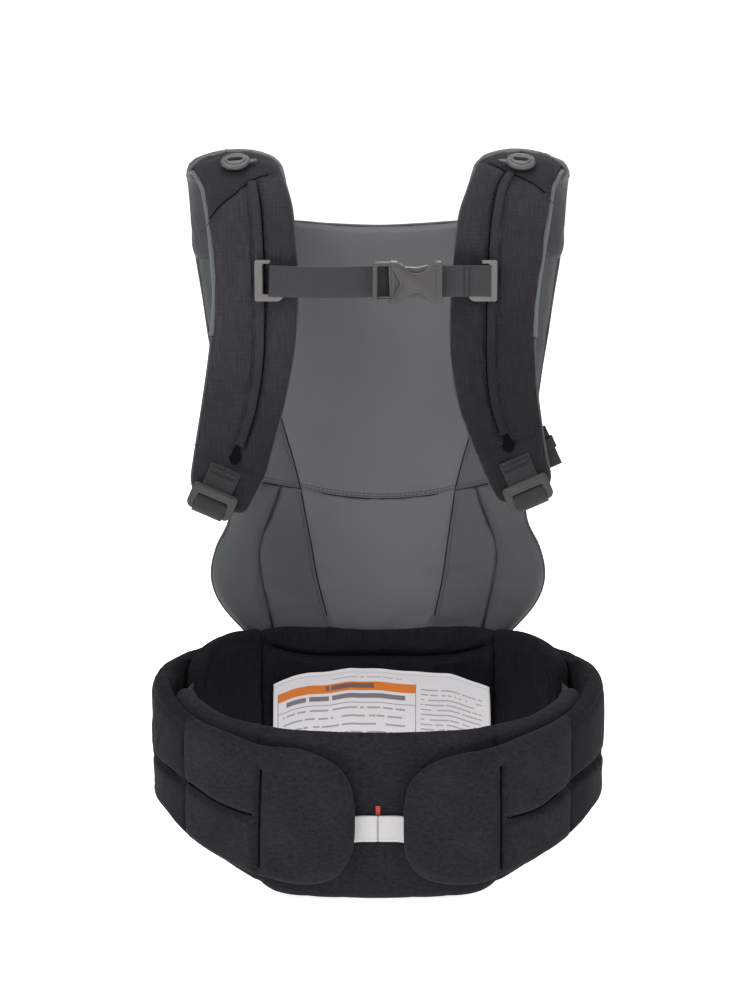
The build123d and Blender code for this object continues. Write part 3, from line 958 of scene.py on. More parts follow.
bolsterPad = {"half": 0.0085, "roll": 0.0085, "step": 0.005, "puff": 0.0010, "fill": 0.7,
              "simulate": {"pressure": 3.0, "cap": 0.0018, "slack": 0.006}}
inner = [(x - 1.6, z) for x, z in panelEdges["bolster"]]
bolsterRuns = [[(104, 151)] + panelEdges["leg"][-2::-1], [(121, 293), (100, 288.6), (79.5, 285)],
               [(79.5, 285)] + inner[1:], [inner[-1], (104, 151)]]
for side, sign in sides.items():
    facts = dict(bolsterPad, ruffle=[((0.03, 0.03), 0.0007, 4.1 + sign)])
    outline = joinRuns(wound(bolsterRuns, sign), 0.0045)
    makePad(f"{side}_leg_bolster_pad", outline, panelPlace, panelSide, [], facts,
            "belt", [f"{side}_leg_bolster"], hinge)
print("panel is made")

# shoulder straps: s is x, and t runs up the near face, over the shoulder and down the far side

strapRun = {"bend": 0.517, "near": 0.049, "far": 0.080, "mid": 0.007}


def crown(s, t):
    # how far the shoulder falls away towards its two edges
    side = (abs(s) - 0.108) / 0.036
    along = 1 - min(1, abs(t - 0.594) / 0.075)
    return 0.0090 * side * side * along * along * (3 - 2 * along)


def strapPlace(s, t, h):
    x, y, z = strapFlat(s, t, h)
    return (x, y, z - crown(s, t))


def strapFlat(s, t, h):
    bend, near, far = strapRun["bend"], strapRun["near"], strapRun["far"]
    top = bend + near * math.pi / 2
    if t < bend:
        return (s, -0.015 - h, t)
    if t < top:
        turn = (t - bend) / near
        radius = near - strapRun["mid"] + h
        return (s, 0.027 - radius * math.cos(turn), bend + radius * math.sin(turn))
    turn = (t - top) / far
    radius = far - strapRun["mid"] + h
    if turn < math.pi / 2:
        return (s, 0.027 + radius * math.sin(turn), 0.486 + radius * math.cos(turn))
    return (s, 0.027 + radius, 0.486 - (t - top - far * math.pi / 2))


strapEdges = {
    "left": {"outer": [(-145, 590), (-139.5, 566), (-133.5, 545), (-129.6, 520), (-127, 490), (-125.5, 458),
                       (-129.5, 418), (-136, 375), (-142, 340), (-145.6, 316), (-144, 306)],
             "lobe": [(-144, 306), (-138, 299), (-122, 291), (-108, 287.6), (-103, 290)],
             "inner": [(-103, 290), (-96, 303), (-87, 323), (-75, 368), (-66.5, 408), (-61.8, 460),
                       (-65, 520), (-70, 552), (-77, 590)]},
    "right": {"outer": [(143, 590), (138.5, 566), (133, 545), (129.5, 515), (124.5, 480), (121.5, 452),
                        (121, 408), (126, 365), (131.5, 333), (134.5, 318), (133, 309)],
              "lobe": [(133, 309), (128, 304), (113, 299.5), (99, 296.4), (93.5, 300)],
              "inner": [(93.5, 300), (86, 314), (78, 333), (67, 362), (59.2, 392), (56, 435), (58.5, 482),
                        (62, 520), (69, 552), (76, 590)]},
}
railLine = {"left": [(-96, 548), (-93, 530), (-91.4, 505), (-90.8, 480), (-90.6, 440), (-92.4, 405),
                     (-97.4, 375), (-103.4, 354), (-107.8, 343)],
            "right": [(101, 556), (94, 540), (89.6, 515), (88, 480), (87.2, 440), (87.6, 405), (90, 380),
                      (94.6, 363), (98.4, 352.5)]}
strapHinge = {side: ((sign * 0.11, 0.040, 0.566), (sign * 0.11, 0.012, 0.566))
              for side, sign in sides.items()}
strapPads = {}
yokeLine = {"left": [(-134, 512), (-128, 519), (-120, 529), (-108, 539), (-96, 550), (-84, 557),
                     (-74, 561)],
            "right": [(133, 534), (127, 540), (118, 547), (106, 554), (95, 561), (84, 572), (79, 580)]}

crossLine = {"left": [(-147, 343), (-140, 339.4), (-93.6, 319.5), (-84, 316)],
             "right": [(77, 331), (84, 336), (128.1, 355.3), (134, 358)]}
strapPad = {"half": 0.0072, "roll": 0.0072, "step": 0.0045, "puff": 0.0004, "fill": 0.5,
            "simulate": {"pressure": 4.0, "cap": 0.003, "slack": 0.025}}
rearPad = {"half": 0.0074, "roll": 0.0072, "step": 0.0058, "fill": 0.4,
           "simulate": {"pressure": 3.0, "cap": 0.002, "slack": 0.02}}


def overYoke(side):
    # true above the yoke's lower edge
    line = [(abs(x), z) for x, z in reversed(yokeLine[side])]
    return lambda s, t: t * 1000 > np.interp(abs(s) * 1000, [x for x, z in line], [z for x, z in line])


for side, sign in sides.items():
    edges = strapEdges[side]
    if sign < 0:
        runs = [edges["outer"], edges["lobe"], edges["inner"], [edges["inner"][-1], edges["outer"][0]]]
    else:
        runs = [edges["inner"][::-1], edges["lobe"][::-1], edges["outer"][::-1],
                [edges["outer"][0], edges["inner"][-1]]]
    seams = [{"line": yokeLine[side], "depth": 0.0012, "width": 0.0016},
             {"line": crossLine[side], "depth": 0.0016, "width": 0.0022},
             {"line": [(x - sign * 3.8, z) for x, z in railLine[side]], "depth": 0.0034, "width": 0.0020},
             {"line": [(x + sign * 5, z) for x, z in railLine[side]], "depth": 0.0008, "width": 0.0016}]
    facts = dict(strapPad, ruffle=[((0.02, 0.05), 0.0010, 2.0 + sign), ((0.007, 0.02), 0.0003, 7.0 + sign)])
    bridge = (f"{side}_strap", *strapHinge[side])
    outline = joinRuns(runs, 0.004)
    nodes = [f"{side}_strap_cover", f"{side}_strap_foam"]
    strapPads[side] = makePad(f"{side}_strap_pad", outline, strapPlace, strapFabric, seams, facts,
                              "panel", nodes, bridge, (litYokeFabric, overYoke(side)))

    # rear half, over the shoulder and down to a rounded flap on the panel's ear
    outerRun = [(146, 588), (150, 610), (151, 650), (151, 690), (151, 722), (148, 732)]
    footRun = [(148, 732), (143, 735), (105, 735.5), (72, 735)]
    innerRun = [(72, 735), (72.5, 700), (73.5, 650), (76, 615), (80, 588)]
    runs = [mirrored(run, sign) for run in (outerRun, footRun, innerRun, [innerRun[-1], outerRun[0]])]
    facts = dict(rearPad, ruffle=[((0.03, 0.03), 0.0010, 3.0 + sign)])
    # painted shade: the rear pads take the darker ear cloth
    makePad(f"{side}_rear_strap_pad", joinRuns(runs, 0.0045), strapPlace, shadedEarFabric, [], facts,
            "panel", [f"{side}_rear_strap"], bridge)
print("straps are made")

# places on finished pads


def surfaceOf(piece):
    verts = [v.co.copy() for v in piece.data.vertices]
    return BVHTree.FromPolygons(verts, [tuple(face.vertices) for face in piece.data.polygons])


def onPad(tree, place, s, t, lift, outside=1):
    # the point of a pad's face at (s, t), lifted off it; outside is -1 for the inner face
    start = Vector(place(s, t, 0.04 * outside))
    aim = Vector(place(s, t, 0.0)) - start
    aim.normalize()
    hit = tree.ray_cast(start, aim)[0]
    if hit is None:
        hit = Vector(place(s, t, 0.006 * outside))
    return hit - aim * lift, -aim


def padLine(tree, place, points, lift, step=0.003, outside=1):
    line = smoothLine(np.array(points) / 1000, step)
    return [onPad(tree, place, s, t, lift, outside)[0] for s, t in line]


def stitchTree():
    # repeat a short rounded thread along every line of the input
    tree = bpy.data.node_groups.new("stitchRow", "GeometryNodeTree")
    face = tree.interface
    face.new_socket("Geometry", in_out="INPUT", socket_type="NodeSocketGeometry")
    for label, value in (("Pitch", 0.0034), ("Stitch length", 0.0024), ("Thread radius", 0.00032)):
        socket = face.new_socket(label, in_out="INPUT", socket_type="NodeSocketFloat")
        socket.default_value = value
    face.new_socket("Thread", in_out="INPUT", socket_type="NodeSocketMaterial")
    face.new_socket("Geometry", in_out="OUTPUT", socket_type="NodeSocketGeometry")
    make = tree.nodes.new
    enter, leave = make("NodeGroupInput"), make("NodeGroupOutput")
    toCurve, resample = make("GeometryNodeMeshToCurve"), make("GeometryNodeResampleCurve")
    resample.mode = "LENGTH"
    place, thread = make("GeometryNodeInstanceOnPoints"), make("GeometryNodeMeshCylinder")
    thread.inputs["Vertices"].default_value = 6
    tangent, turn = make("GeometryNodeInputTangent"), make("FunctionNodeAlignEulerToVector")
    turn.axis = "Z"
    realize, finish = make("GeometryNodeRealizeInstances"), make("GeometryNodeSetMaterial")
    smooth = make("GeometryNodeSetShadeSmooth")
    join = tree.links.new
    join(enter.outputs["Geometry"], toCurve.inputs[0])
    join(toCurve.outputs[0], resample.inputs["Curve"])
    join(enter.outputs["Pitch"], resample.inputs["Length"])
    join(enter.outputs["Stitch length"], thread.inputs["Depth"])
    join(enter.outputs["Thread radius"], thread.inputs["Radius"])
    join(resample.outputs[0], place.inputs["Points"])
    join(thread.outputs["Mesh"], place.inputs["Instance"])
    join(tangent.outputs[0], turn.inputs["Vector"])
    join(turn.outputs[0], place.inputs["Rotation"])
    join(place.outputs[0], realize.inputs[0])
    join(realize.outputs[0], smooth.inputs[0])
    join(smooth.outputs[0], finish.inputs["Geometry"])
    join(enter.outputs["Thread"], finish.inputs["Material"])
    join(finish.outputs[0], leave.inputs[0])
    return tree


stitching = stitchTree()


def stitches(name, lines, thread, pitch=0.0034, length=0.0024, radius=0.00032):
    # one piece with a stitch row along each line of points
    verts, edges = [], []
    for line in lines:
        start = len(verts)
        verts.extend(tuple(p) for p in line)
        edges.extend((start + k, start + k + 1) for k in range(len(line) - 1))
    mesh = bpy.data.meshes.new(name)
    mesh.from_pydata(verts, edges, [])
    piece = newPiece(name, mesh)
    modifier = piece.modifiers.new("Stitches", "NODES")
    modifier.node_group = stitching
    values = {"Pitch": pitch, "Stitch length": length, "Thread radius": radius, "Thread": thread}
    for item in stitching.interface.items_tree:
        if item.in_out == "INPUT" and item.name in values:
            modifier[item.identifier] = values[item.name]
    applyModifiers(piece)
    return piece


def shifted(line, ds, dt=0.0):
    return [(s + ds, t + dt) for s, t in line]


def threadRow(tree, place, points, outside=1):
    return padLine(tree, place, points, 0.0001, 0.0008, outside)


# strap trims: bindings, rails, keyholes, lock webbing and stitches
lockAt = {"left": (-129.5, 299.5), "right": (117.0, 306.5)}
lockTurn = 24
keyhole = {"place": {"left": (-110.6, 336), "right": (100.6, 345.5)}, "lean": {"left": 12, "right": -14},
           "wide": 3.9, "tall": 8.2}
for side, sign in sides.items():
    bridge = (f"{side}_strap", *strapHinge[side])
    tree = surfaceOf(strapPads[side])
    edges = strapEdges[side]
    outerLine = smoothLine(np.array(edges["outer"]) / 1000, 0.004)
    innerLine = smoothLine(np.array(edges["inner"]) / 1000, 0.004)
    edgePath = [strapPlace(s, t, 0.0006) for s, t in outerLine]
    upperPath = [p for p, (s, t) in zip(edgePath, outerLine) if t > 0.426]
    lowerPath = [p for p, (s, t) in zip(edgePath, outerLine) if t <= 0.430]
    outward = (sign, 0, 0)
    parts = [cord("edgeUpper", upperPath, 0.0021, binding, 0.8, outward),
             cord("edgeLower", lowerPath, 0.0012, piping, 1.0, outward)]
    settle(mergePieces(f"{side}_strap_binding", parts), "panel", blendTo=bridge)
    innerPath = [strapPlace(s, t, 0.0004) for s, t in innerLine]
    settle(cord(f"{side}_strap_piping", innerPath, 0.0011, piping, 1.0, outward),
           "panel", blendTo=bridge)
    # the light band over the shoulder, gently wavy
    band = []
    for k, x in enumerate(np.linspace(0.0762, 0.1462, 30)):
        wave = 0.0006 * math.sin(k * 0.9 + sign) + 0.0005 * math.sin(k * 2.3)
        edge = min(1, abs(x - 0.1112) / 0.0352)
        high = 0.0005 + (0.0066 + wave * 0.6) * math.sqrt(1 - edge ** 5)
        band.append(strapPlace(sign * x, 0.5885 + wave, high))
    settle(cord(f"{side}_shoulder_band", band, 0.0026, binding, 0.7, (0, 1, 0)),
           "panel", blendTo=bridge)

    rail = padLine(tree, strapPlace, railLine[side], 0.0008)
    railPiece = sweep(f"{side}_rail_fold", rail, (1, 0, 0), roundSection(0.0033, 12, 0.62), strapFabric)
    settle(railPiece, "panel", [f"{side}_strap_rail"], blendTo=bridge)
    x, z = keyhole["place"][side]
    lean = math.radians(keyhole["lean"][side])
    spot = onPad(tree, strapPlace, x / 1000, z / 1000, 0.0003)[0]
    ring = []
    for a in np.linspace(0, 2 * math.pi, 20, endpoint=False):
        x = keyhole["wide"] * math.cos(a) * (0.8 if math.sin(a) > 0 else 1.25)
        y = keyhole["tall"] * math.sin(a)
        ring.append(((x * math.cos(lean) + y * math.sin(lean)) / 1000,
                     (-x * math.sin(lean) + y * math.cos(lean)) / 1000))
    upright = Matrix(((1, 0, 0, spot.x), (0, 0, -1, spot.y), (0, 1, 0, spot.z), (0, 0, 0, 1)))
    settle(plate(f"{side}_keyhole", [ring], upright, 0.0022, 0.0004, blackPartsAndSeamShade),
           f"{side}_strap")

    lines = [threadRow(tree, strapPlace, shifted(railLine[side], sign * off)) for off in (6.2, -4.6)]
    settle(stitches(f"{side}_rail_stitches", lines, blackThread), f"{side}_strap")
    lines = [threadRow(tree, strapPlace, shifted(yokeLine[side], 0, -2.2))]
    settle(stitches(f"{side}_yoke_stitches", lines, blackThread), "panel", blendTo=bridge)

    # lock webbing, sewn on at the slanted seam
    lockX, lockZ = lockAt[side]
    turn = math.radians(lockTurn * sign)
    upX, upZ = -math.sin(turn), math.cos(turn)
    wide = Vector((math.cos(turn), 0, math.sin(turn)))
    path = []
    for reach in (2, 6, 10, 14, 18, 22, 26, 28.5):
        s, t = (lockX + upX * reach) / 1000, (lockZ + upZ * reach) / 1000
        spot = onPad(tree, strapPlace, s, t, 0.0009)[0]
        if reach < 12:
            spot.y = min(spot.y, -0.0238 - 0.0002 * (12 - reach))
        path.append(spot)
    webbing = sweep(f"{side}_lock_strap", path, tuple(wide), bandSection(0.0248, 0.0015), darkWebbing)
    settle(webbing, f"{side}_strap", [f"{side}_lock_webbing"])
    webTree = surfaceOf(webbing)
    rows = []
    for reach in (21.5, 26):
        zig = []
        for k in range(23):
            across = -11 + k
            high = reach + (1.2 if k % 2 else -1.2)
            x = lockX + upX * high + wide.x * across
            z = lockZ + upZ * high + wide.z * across
            zig.append(onPad(webTree, strapPlace, x / 1000, z / 1000, 0.0002)[0])
        rows.append(zig)
    settle(stitches(f"{side}_lock_stitches", rows, blackThread, 0.0012, 0.0013, 0.00026),
           f"{side}_strap")

    # the adjuster webbing goes through the lock and back to the panel
    start = Vector((lockX - upX * 8, -22.8, lockZ - upZ * 8)) / 1000
    end = Vector((sign * 117, 91.8, 332)) / 1000
    run = []
    for k in range(25):
        f = k / 24
        sag = Vector((0, 0, -0.007 * math.sin(math.pi * min(1, f * 1.02))))
        run.append(start.lerp(end, f) + sag)
    widths = [tuple(wide.lerp(Vector((1, 0, 0)), k / 24)) for k in range(25)]
    adjuster = sweep(f"{side}_adjuster_strap", run, widths, bandSection(0.024, 0.0015), darkWebbing)
    settle(adjuster, "panel", [f"{side}_adjuster_webbing"],
           blendTo=(f"{side}_strap", tuple(end), (start.x, 0.0, start.z)))
    wrap = []
    for reach, off in ((3.2, -25.2), (1.2, -27.4), (-2, -29.8), (-5, -30.2), (-8.5, -29.6), (-11.5, -27.2),
                       (-12, -24.6), (-10, -23.2), (-7, -22.9)):
        wrap.append(Vector((lockX + upX * reach, off, lockZ + upZ * reach)) / 1000)
    loop = sweep(f"{side}_lock_loop", smoothLine(wrap, 0.0012), tuple(wide), bandSection(0.0250, 0.0014),
                 darkWebbing)
    settle(loop, f"{side}_lock")
print("strap trims are made")

# moulded parts


def facing(x, y, z, turn=0.0):
    # places a flat drawing so that it faces the wearer's back, at (x, y, z) in millimetres
    c, s = math.cos(turn), math.sin(turn)
    return Matrix(((c, -s, 0, x / 1000), (0, 0, -1, y / 1000), (s, c, 0, z / 1000), (0, 0, 0, 1)))


def bar(left, top, right, low, corner):
    return roundedLoop([(left, top), (right, top), (right, low), (left, low)], corner)


sternumHeight = 473
lockShape = [(-18.5, 10.5), (18.5, 10.5), (18.5, -7), (15.5, -10.5), (-15.5, -10.5), (-18.5, -7)]
clipShape = [(-11.5, 15.6), (0.4, 15.6), (0.4, 12.9), (-5.4, 12.9), (-5.4, -10.4), (4.6, -11), (6.2, -7),
             (10.4, -7), (10.4, -13), (7, -16), (-11.5, -16)]
clipAt = {"left": -82.6, "right": 79.4}
shoeAt = {"left": -90.6, "right": 87.6}
toggle = {"wide": 11.2, "tall": 8.8, "slotWide": 5.6, "slotTall": 1.9, "lean": 57, "turn": 9, "out": 0.109}

for side, sign in sides.items():
    x, z = lockAt[side]
    turn = math.radians(lockTurn * sign)
    loops = [roundedLoop(lockShape, 3.4), bar(-12.2, 2.6, 12.2, -0.6, 1.2)[::-1],
             bar(-12.2, -3.2, 12.2, -7.4, 1.4)[::-1]]
    lockFrame = plate("lockFrame", loops, facing(x, -27.0, z, turn), 0.0046, 0.0011, lockPlastic)
    lip = plate("lockLip", [bar(-17, 9.6, 17, 5.2, 1.8)], facing(x, -29.4, z, turn), 0.0022, 0.0009,
                lockPlastic)
    lock = mergePieces(f"{side}_lock_frame", [lockFrame, lip])
    settle(lock, f"{side}_lock", [f"{side}_ladder_lock"])

    outline = [(-px, pz) for px, pz in clipShape][::-1] if sign > 0 else clipShape
    ringPart = plate("clipRing", [roundedLoop(outline, 1.8)], facing(clipAt[side], -28.6, sternumHeight),
                     0.0046, 0.0012, clipPlastic)
    shoe = plate("clipShoe", [bar(-2.8, 9, 2.8, -9, 1.4)], facing(shoeAt[side], -25.6, sternumHeight),
                 0.0030, 0.0008, clipPlastic)
    settle(mergePieces(f"{side}_clip", [ringPart, shoe]), f"{side}_slider",
           [f"{side}_slider_clip"])

    angle = math.radians(toggle["lean"])
    outward = Vector((0, -math.cos(angle), math.sin(angle)))
    root = Vector((sign * toggle["out"], 0.027, strapRun["bend"])) + outward * 0.0521
    root += Vector((0, -0.0025, -0.0016))
    root += outward * 0.0020
    xAxis = Vector((1, 0, 0))
    axes = Matrix((xAxis, outward.cross(xAxis), outward)).transposed().to_4x4()
    button = Matrix.Translation(root) @ axes @ Matrix.Rotation(math.radians(-toggle["turn"] * sign), 4, "Z")
    around = np.linspace(0, 2 * math.pi, 40, endpoint=False)
    rim = [(toggle["wide"] * math.cos(a) / 1000, toggle["tall"] * math.sin(a) / 1000) for a in around]
    cut = [(toggle["slotWide"] * math.copysign(abs(math.cos(a)) ** 0.6, math.cos(a)) / 1000,
            toggle["slotTall"] * math.copysign(abs(math.sin(a)) ** 0.6, math.sin(a)) / 1000)
           for a in around[::-1]]
    raised = [(px * 0.72, py * 0.70) for px, py in rim]
    tip = [(-sign * 9, 2.2), (-sign * 9, -2.2), (-sign * 16, -1.0), (-sign * 17.5, 0), (-sign * 16, 1.0)]
    layers = [
        # outlines, height, thickness, bevel and material
        ([rim, cut], 0, 0.0040, 0.0016, togglePlastic),
        ([raised, cut], 0.0021, 0.0018, 0.0008, togglePlastic),
        ([roundedLoop(tip[::sign], 0.8)], -0.0008, 0.0016, 0.0005, togglePlastic),
        ([bar(-6.6, 2.9, 6.6, -2.9, 1)], -0.0017, 0.0008, 0.0003, blackPartsAndSeamShade),
    ]
    parts = [plate("layer", outlines, button @ Matrix.Translation((0, 0, high)), thick, bevel, material)
             for outlines, high, thick, bevel, material in layers]
    settle(mergePieces(f"{side}_toggle_button", parts), f"{side}_toggle",
           [f"{side}_hood_toggle"])

    tapeHeight = strapRun["bend"] + strapRun["near"] * angle
    middle = sign * toggle["out"]
    tape = [strapPlace(middle + dx / 1000, tapeHeight, 0.0072) for dx in np.linspace(-7, 7, 9)]
    settle(cord(f"{side}_toggle_tape", tape, 0.0014, binding, 0.6), f"{side}_strap")


def buckleHalf(name, body, node, layers):
    # layers hold outlines, depth position, thickness and bevel
    parts = [plate("layer", outlines, facing(0, y, sternumHeight), thick, bevel, bucklePlastic)
             for outlines, y, thick, bevel in layers]
    settle(mergePieces(name, parts), body, [node])


socketShape = roundedLoop([(8, 16), (14.5, 16), (26.5, 7.8), (32.5, 7.8), (42.5, 16), (48.6, 16),
                           (48.6, -16), (42.5, -16), (32.5, -7.8), (26.5, -7.8), (14.5, -16), (8, -16),
                           (17, 0)], 2.2)
reliefShape = roundedLoop([(12.4, 12.8), (15.2, 12.8), (26.8, 5.2), (32.2, 5.2), (41.4, 12.8), (43.6, 12.8),
                           (43.6, -12.8), (41.4, -12.8), (32.2, -5.2), (26.8, -5.2), (15.2, -12.8),
                           (12.4, -12.8), (19.6, 0)], 2)
ribs = [roundedLoop([(9, z * 12.6), (15, z * 12.6), (15, z * 15.8), (9, z * 15.8)][::z], 1)
        for z in (1, -1)]
buckleHalf("socket_shell", "right_slider", "buckle_socket", [
    ([socketShape], -42.3, 0.0030, 0.0012),
    ([socketShape], -33.2, 0.0026, 0.0010),
    ([reliefShape], -43.8, 0.0014, 0.0006),
    ([bar(43.6, 15.6, 48.8, -15.6, 1.6)], -37.75, 0.0110, 0.0008),
    ([ribs[0]], -37.75, 0.0104, 0.0008),
    ([ribs[1]], -37.75, 0.0104, 0.0008),
])
plugShape = [(-4.2, 15.4), (14, 15.4), (20.5, 12.2), (20.5, -12.2), (14, -15.4), (-4.2, -15.4)]
tongueShape = [(18, 2.6), (40.5, 2.2), (40.5, -2.2), (18, -2.6)]
buckleHalf("plug_frame", "plug", "buckle_plug", [
    ([roundedLoop(plugShape, 3.8), bar(-0.4, 12.2, 9.6, -12.2, 1.4)[::-1]], -37.75, 0.0060, 0.0014),
    ([roundedLoop(tongueShape, 0.8)], -37.75, 0.0052, 0.0008),
    ([bar(10.4, 12, 13.2, -12, 0.9)], -40.4, 0.0014, 0.0005),
])
print("moulded parts are made")

# sternum webbing


def sternumPath(x0, x1, sag):
    path = []
    for f in np.linspace(0, 1, 22):
        high = webHeight - sag * math.sin(math.pi * f)
        path.append(((x0 + (x1 - x0) * f) / 1000, -0.03105 - 0.0004 * math.sin(6 * f), high))
    return path


upward = (0, 0, 1)
webHeight = sternumHeight / 1000
leftWeb = sweep("left_sternum_strap", sternumPath(-83, 8.5, 0.0012), upward, bandSection(0.0240, 0.0014),
                strapWebbing)
settle(leftWeb, "left_slider", ["left_sternum_webbing"],
       blendTo=("plug", (-0.080, -0.031, webHeight), (-0.005, -0.031, webHeight)))
rightWeb = sweep("right_sternum_strap", sternumPath(42, 86, 0.0), upward, bandSection(0.0240, 0.0014),
                 strapWebbing)
settle(rightWeb, "right_slider", ["right_sternum_webbing"])
foldLine = ((42, -31.2), (44, -33), (49, -33.4), (56, -32.9), (64, -32.7), (69, -32.4))
foldPath = smoothLine([(x / 1000, y / 1000, webHeight) for x, y in foldLine], 0.002)
doubled = sweep("right_sternum_fold", foldPath, upward, bandSection(0.0238, 0.0013), strapWebbing)
settle(doubled, "right_slider")
row = [(0.0655, -0.0336, 0.4625 + k * 0.00105) for k in range(21)]
settle(stitches("right_sternum_stitches", [row], blackThread, 0.0020, 0.0015, 0.00030),
       "right_slider")

# spare webbing, folded and held at the right strap's edge

tailTurn = math.radians(-25)
down = Vector((math.sin(tailTurn), 0, math.cos(tailTurn)))
across = Vector((math.cos(tailTurn), 0, -math.sin(tailTurn)))
tailCentre = Vector((0.132, -0.0034, 0.338))
folds = []
for k, (low, high) in enumerate(((-16.5, 14.5), (-15.2, 16.2), (-16.8, 15.5))):
    y = -2.0 + k * 2.0
    path = []
    for v in np.linspace(low, high, 12):
        wave = Vector((0, (y + 0.25 * math.sin(v * 0.3 + k)) / 1000, 0))
        path.append(tailCentre + down * (v / 1000) + wave)
    folds.append(sweep("fold", path, tuple(across), bandSection(0.0125, 0.0017), darkWebbing))
settle(mergePieces("right_spare_webbing", folds), "right_strap", ["right_webbing_tail"])
keeperLoop = []
for a in np.linspace(0, 2 * math.pi, 28, endpoint=False):
    c, d = math.cos(a), math.sin(a)
    off = Vector((0, 0.0043 * math.copysign(abs(d) ** 0.4, d), 0))
    keeperLoop.append(tailCentre + down * 0.002 + across * (0.0076 * math.copysign(abs(c) ** 0.4, c)) + off)
keeper = sweep("right_elastic_keeper", keeperLoop, tuple(down), bandSection(0.009, 0.0009), darkWebbing,
               closedPath=True)
settle(keeper, "right_strap", ["right_webbing_keeper"])


def repaint(name, material):
    # a new material for a piece that keeps its own mesh
    for slotOf in bpy.data.objects[name].material_slots:
        slotOf.material = material


for side in sides:
    repaint(f"{side}_webbing_anchor", strapWebbing)

# pull tabs, marker and the fastening patches

tabPath = [(-26, -112), (-22, -110.6), (-18, -108.2), (-14, -107.2), (-7, -107.0), (-1.6, -106.9),
           (-0.45, -106.2), (-1.6, -105.5), (-7, -105.3), (-15, -105.4), (-20, -107.4)]
for side, sign in sides.items():
    line = smoothLine([(sign * -x / 1000, y / 1000, 0.0585) for x, y in tabPath], 0.0012)
    tab = sweep(f"{side}_tab", line, (0, 0, 1), bandSection(0.0208, 0.0009), tabWebbing)
    settle(tab, f"{side}_wing", [f"{side}_pull_tab"])
    rows = [[(sign * x / 1000, -0.10765, 0.0585 + dz) for x in np.linspace(1.5, 15, 20)]
            for dz in (0.0092, -0.0092)]
    settle(stitches(f"{side}_tab_stitches", rows, whiteThread, 0.0022, 0.0016, 0.0002),
           f"{side}_wing")

markerPath = smoothLine([(0.0, -0.1030, 0.0672), (0.0, -0.1042, 0.0705), (0.0, -0.1050, 0.0745),
                         (0.0, -0.1046, 0.0762), (0.0, -0.1038, 0.0745), (0.0, -0.1032, 0.070)], 0.0008)
marker = sweep("centre_marker", markerPath, (1, 0, 0), bandSection(0.0036, 0.0006), redMarker)
settle(marker, "belt", ["centre_marker_tab"])


def patch(name, place, s0, s1, t0, t1):
    # a thin cloth patch that follows the belt's curve
    half = 0.0004
    edge = smoothLine(np.array(bar(s0, t0, s1, t1, 6)), 0.004, True)
    flat = spread(edge, [0.0008], [], 0.006)
    count = len(edge)
    found = delaunay_2d_cdt([Vector(p) for p in flat], [], [list(range(count))], 1, 1e-6)
    coords = [tuple(p) for p in found[0]]
    n = len(coords)
    verts = [place(s, t, half) for s, t in coords] + [place(s, t, -half) for s, t in coords]
    faces = [tuple(f) for f in found[2]] + [tuple(n + i for i in reversed(f)) for f in found[2]]
    edges = {}
    for f in found[2]:
        for a, b in zip(f, f[1:] + f[:1]):
            edges[(a, b)] = edges.get((a, b), 0) + 1
    for (a, b) in edges:
        if (b, a) not in edges:
            faces.append((a, n + a, n + b, b))
    piece = finishMesh(name, verts, faces, hookLoop, coords + coords)
    turnOutward(piece.data)
    return piece


for side, sign in sides.items():
    s0, s1 = sorted([sign * 34, sign * 118])
    loops = patch(f"{side}_loop_field", ringPlace(0.0165), s0, s1, 32, 110)
    settle(loops, "belt", [f"{side}_loop_patch"])
    hooks = patch(f"{side}_hook_field", ringPlace(0.0162), s0, s1, 36, 106)
    settle(hooks, f"{side}_wing", [f"{side}_hook_patch"])
print("webbing and tabs are made")

# care label: a thin printed sheet that hangs from the belly pad

label = {"width": 0.186, "length": 0.098, "band": (0.0118, 0.0196), "rule": 0.0300, "divider": 0.1205}


def between(value, low, high):
    return times(computed("GREATER_THAN", value, low), computed("LESS_THAN", value, high))


def window(u, v, left, right, top, low):
    return times(between(v, top, low), between(u, left, right))


def lineRows(u, v, top, low, left, right, pitch, tall, gap):
    # plain grey bars in rows, broken into uneven lengths
    place = computed("DIVIDE", computed("SUBTRACT", v, top), pitch)
    inRow = computed("LESS_THAN", computed("FRACT", place), tall / pitch)
    uneven = addNode(u, "ShaderNodeCombineXYZ", X=times(u, 210), Y=times(computed("FLOOR", place), 7.7))
    words = computed("GREATER_THAN", noiseValue(uneven.outputs[0], 1.0, 0), gap)
    return times(times(inRow, words), window(u, v, left, right, top, low))


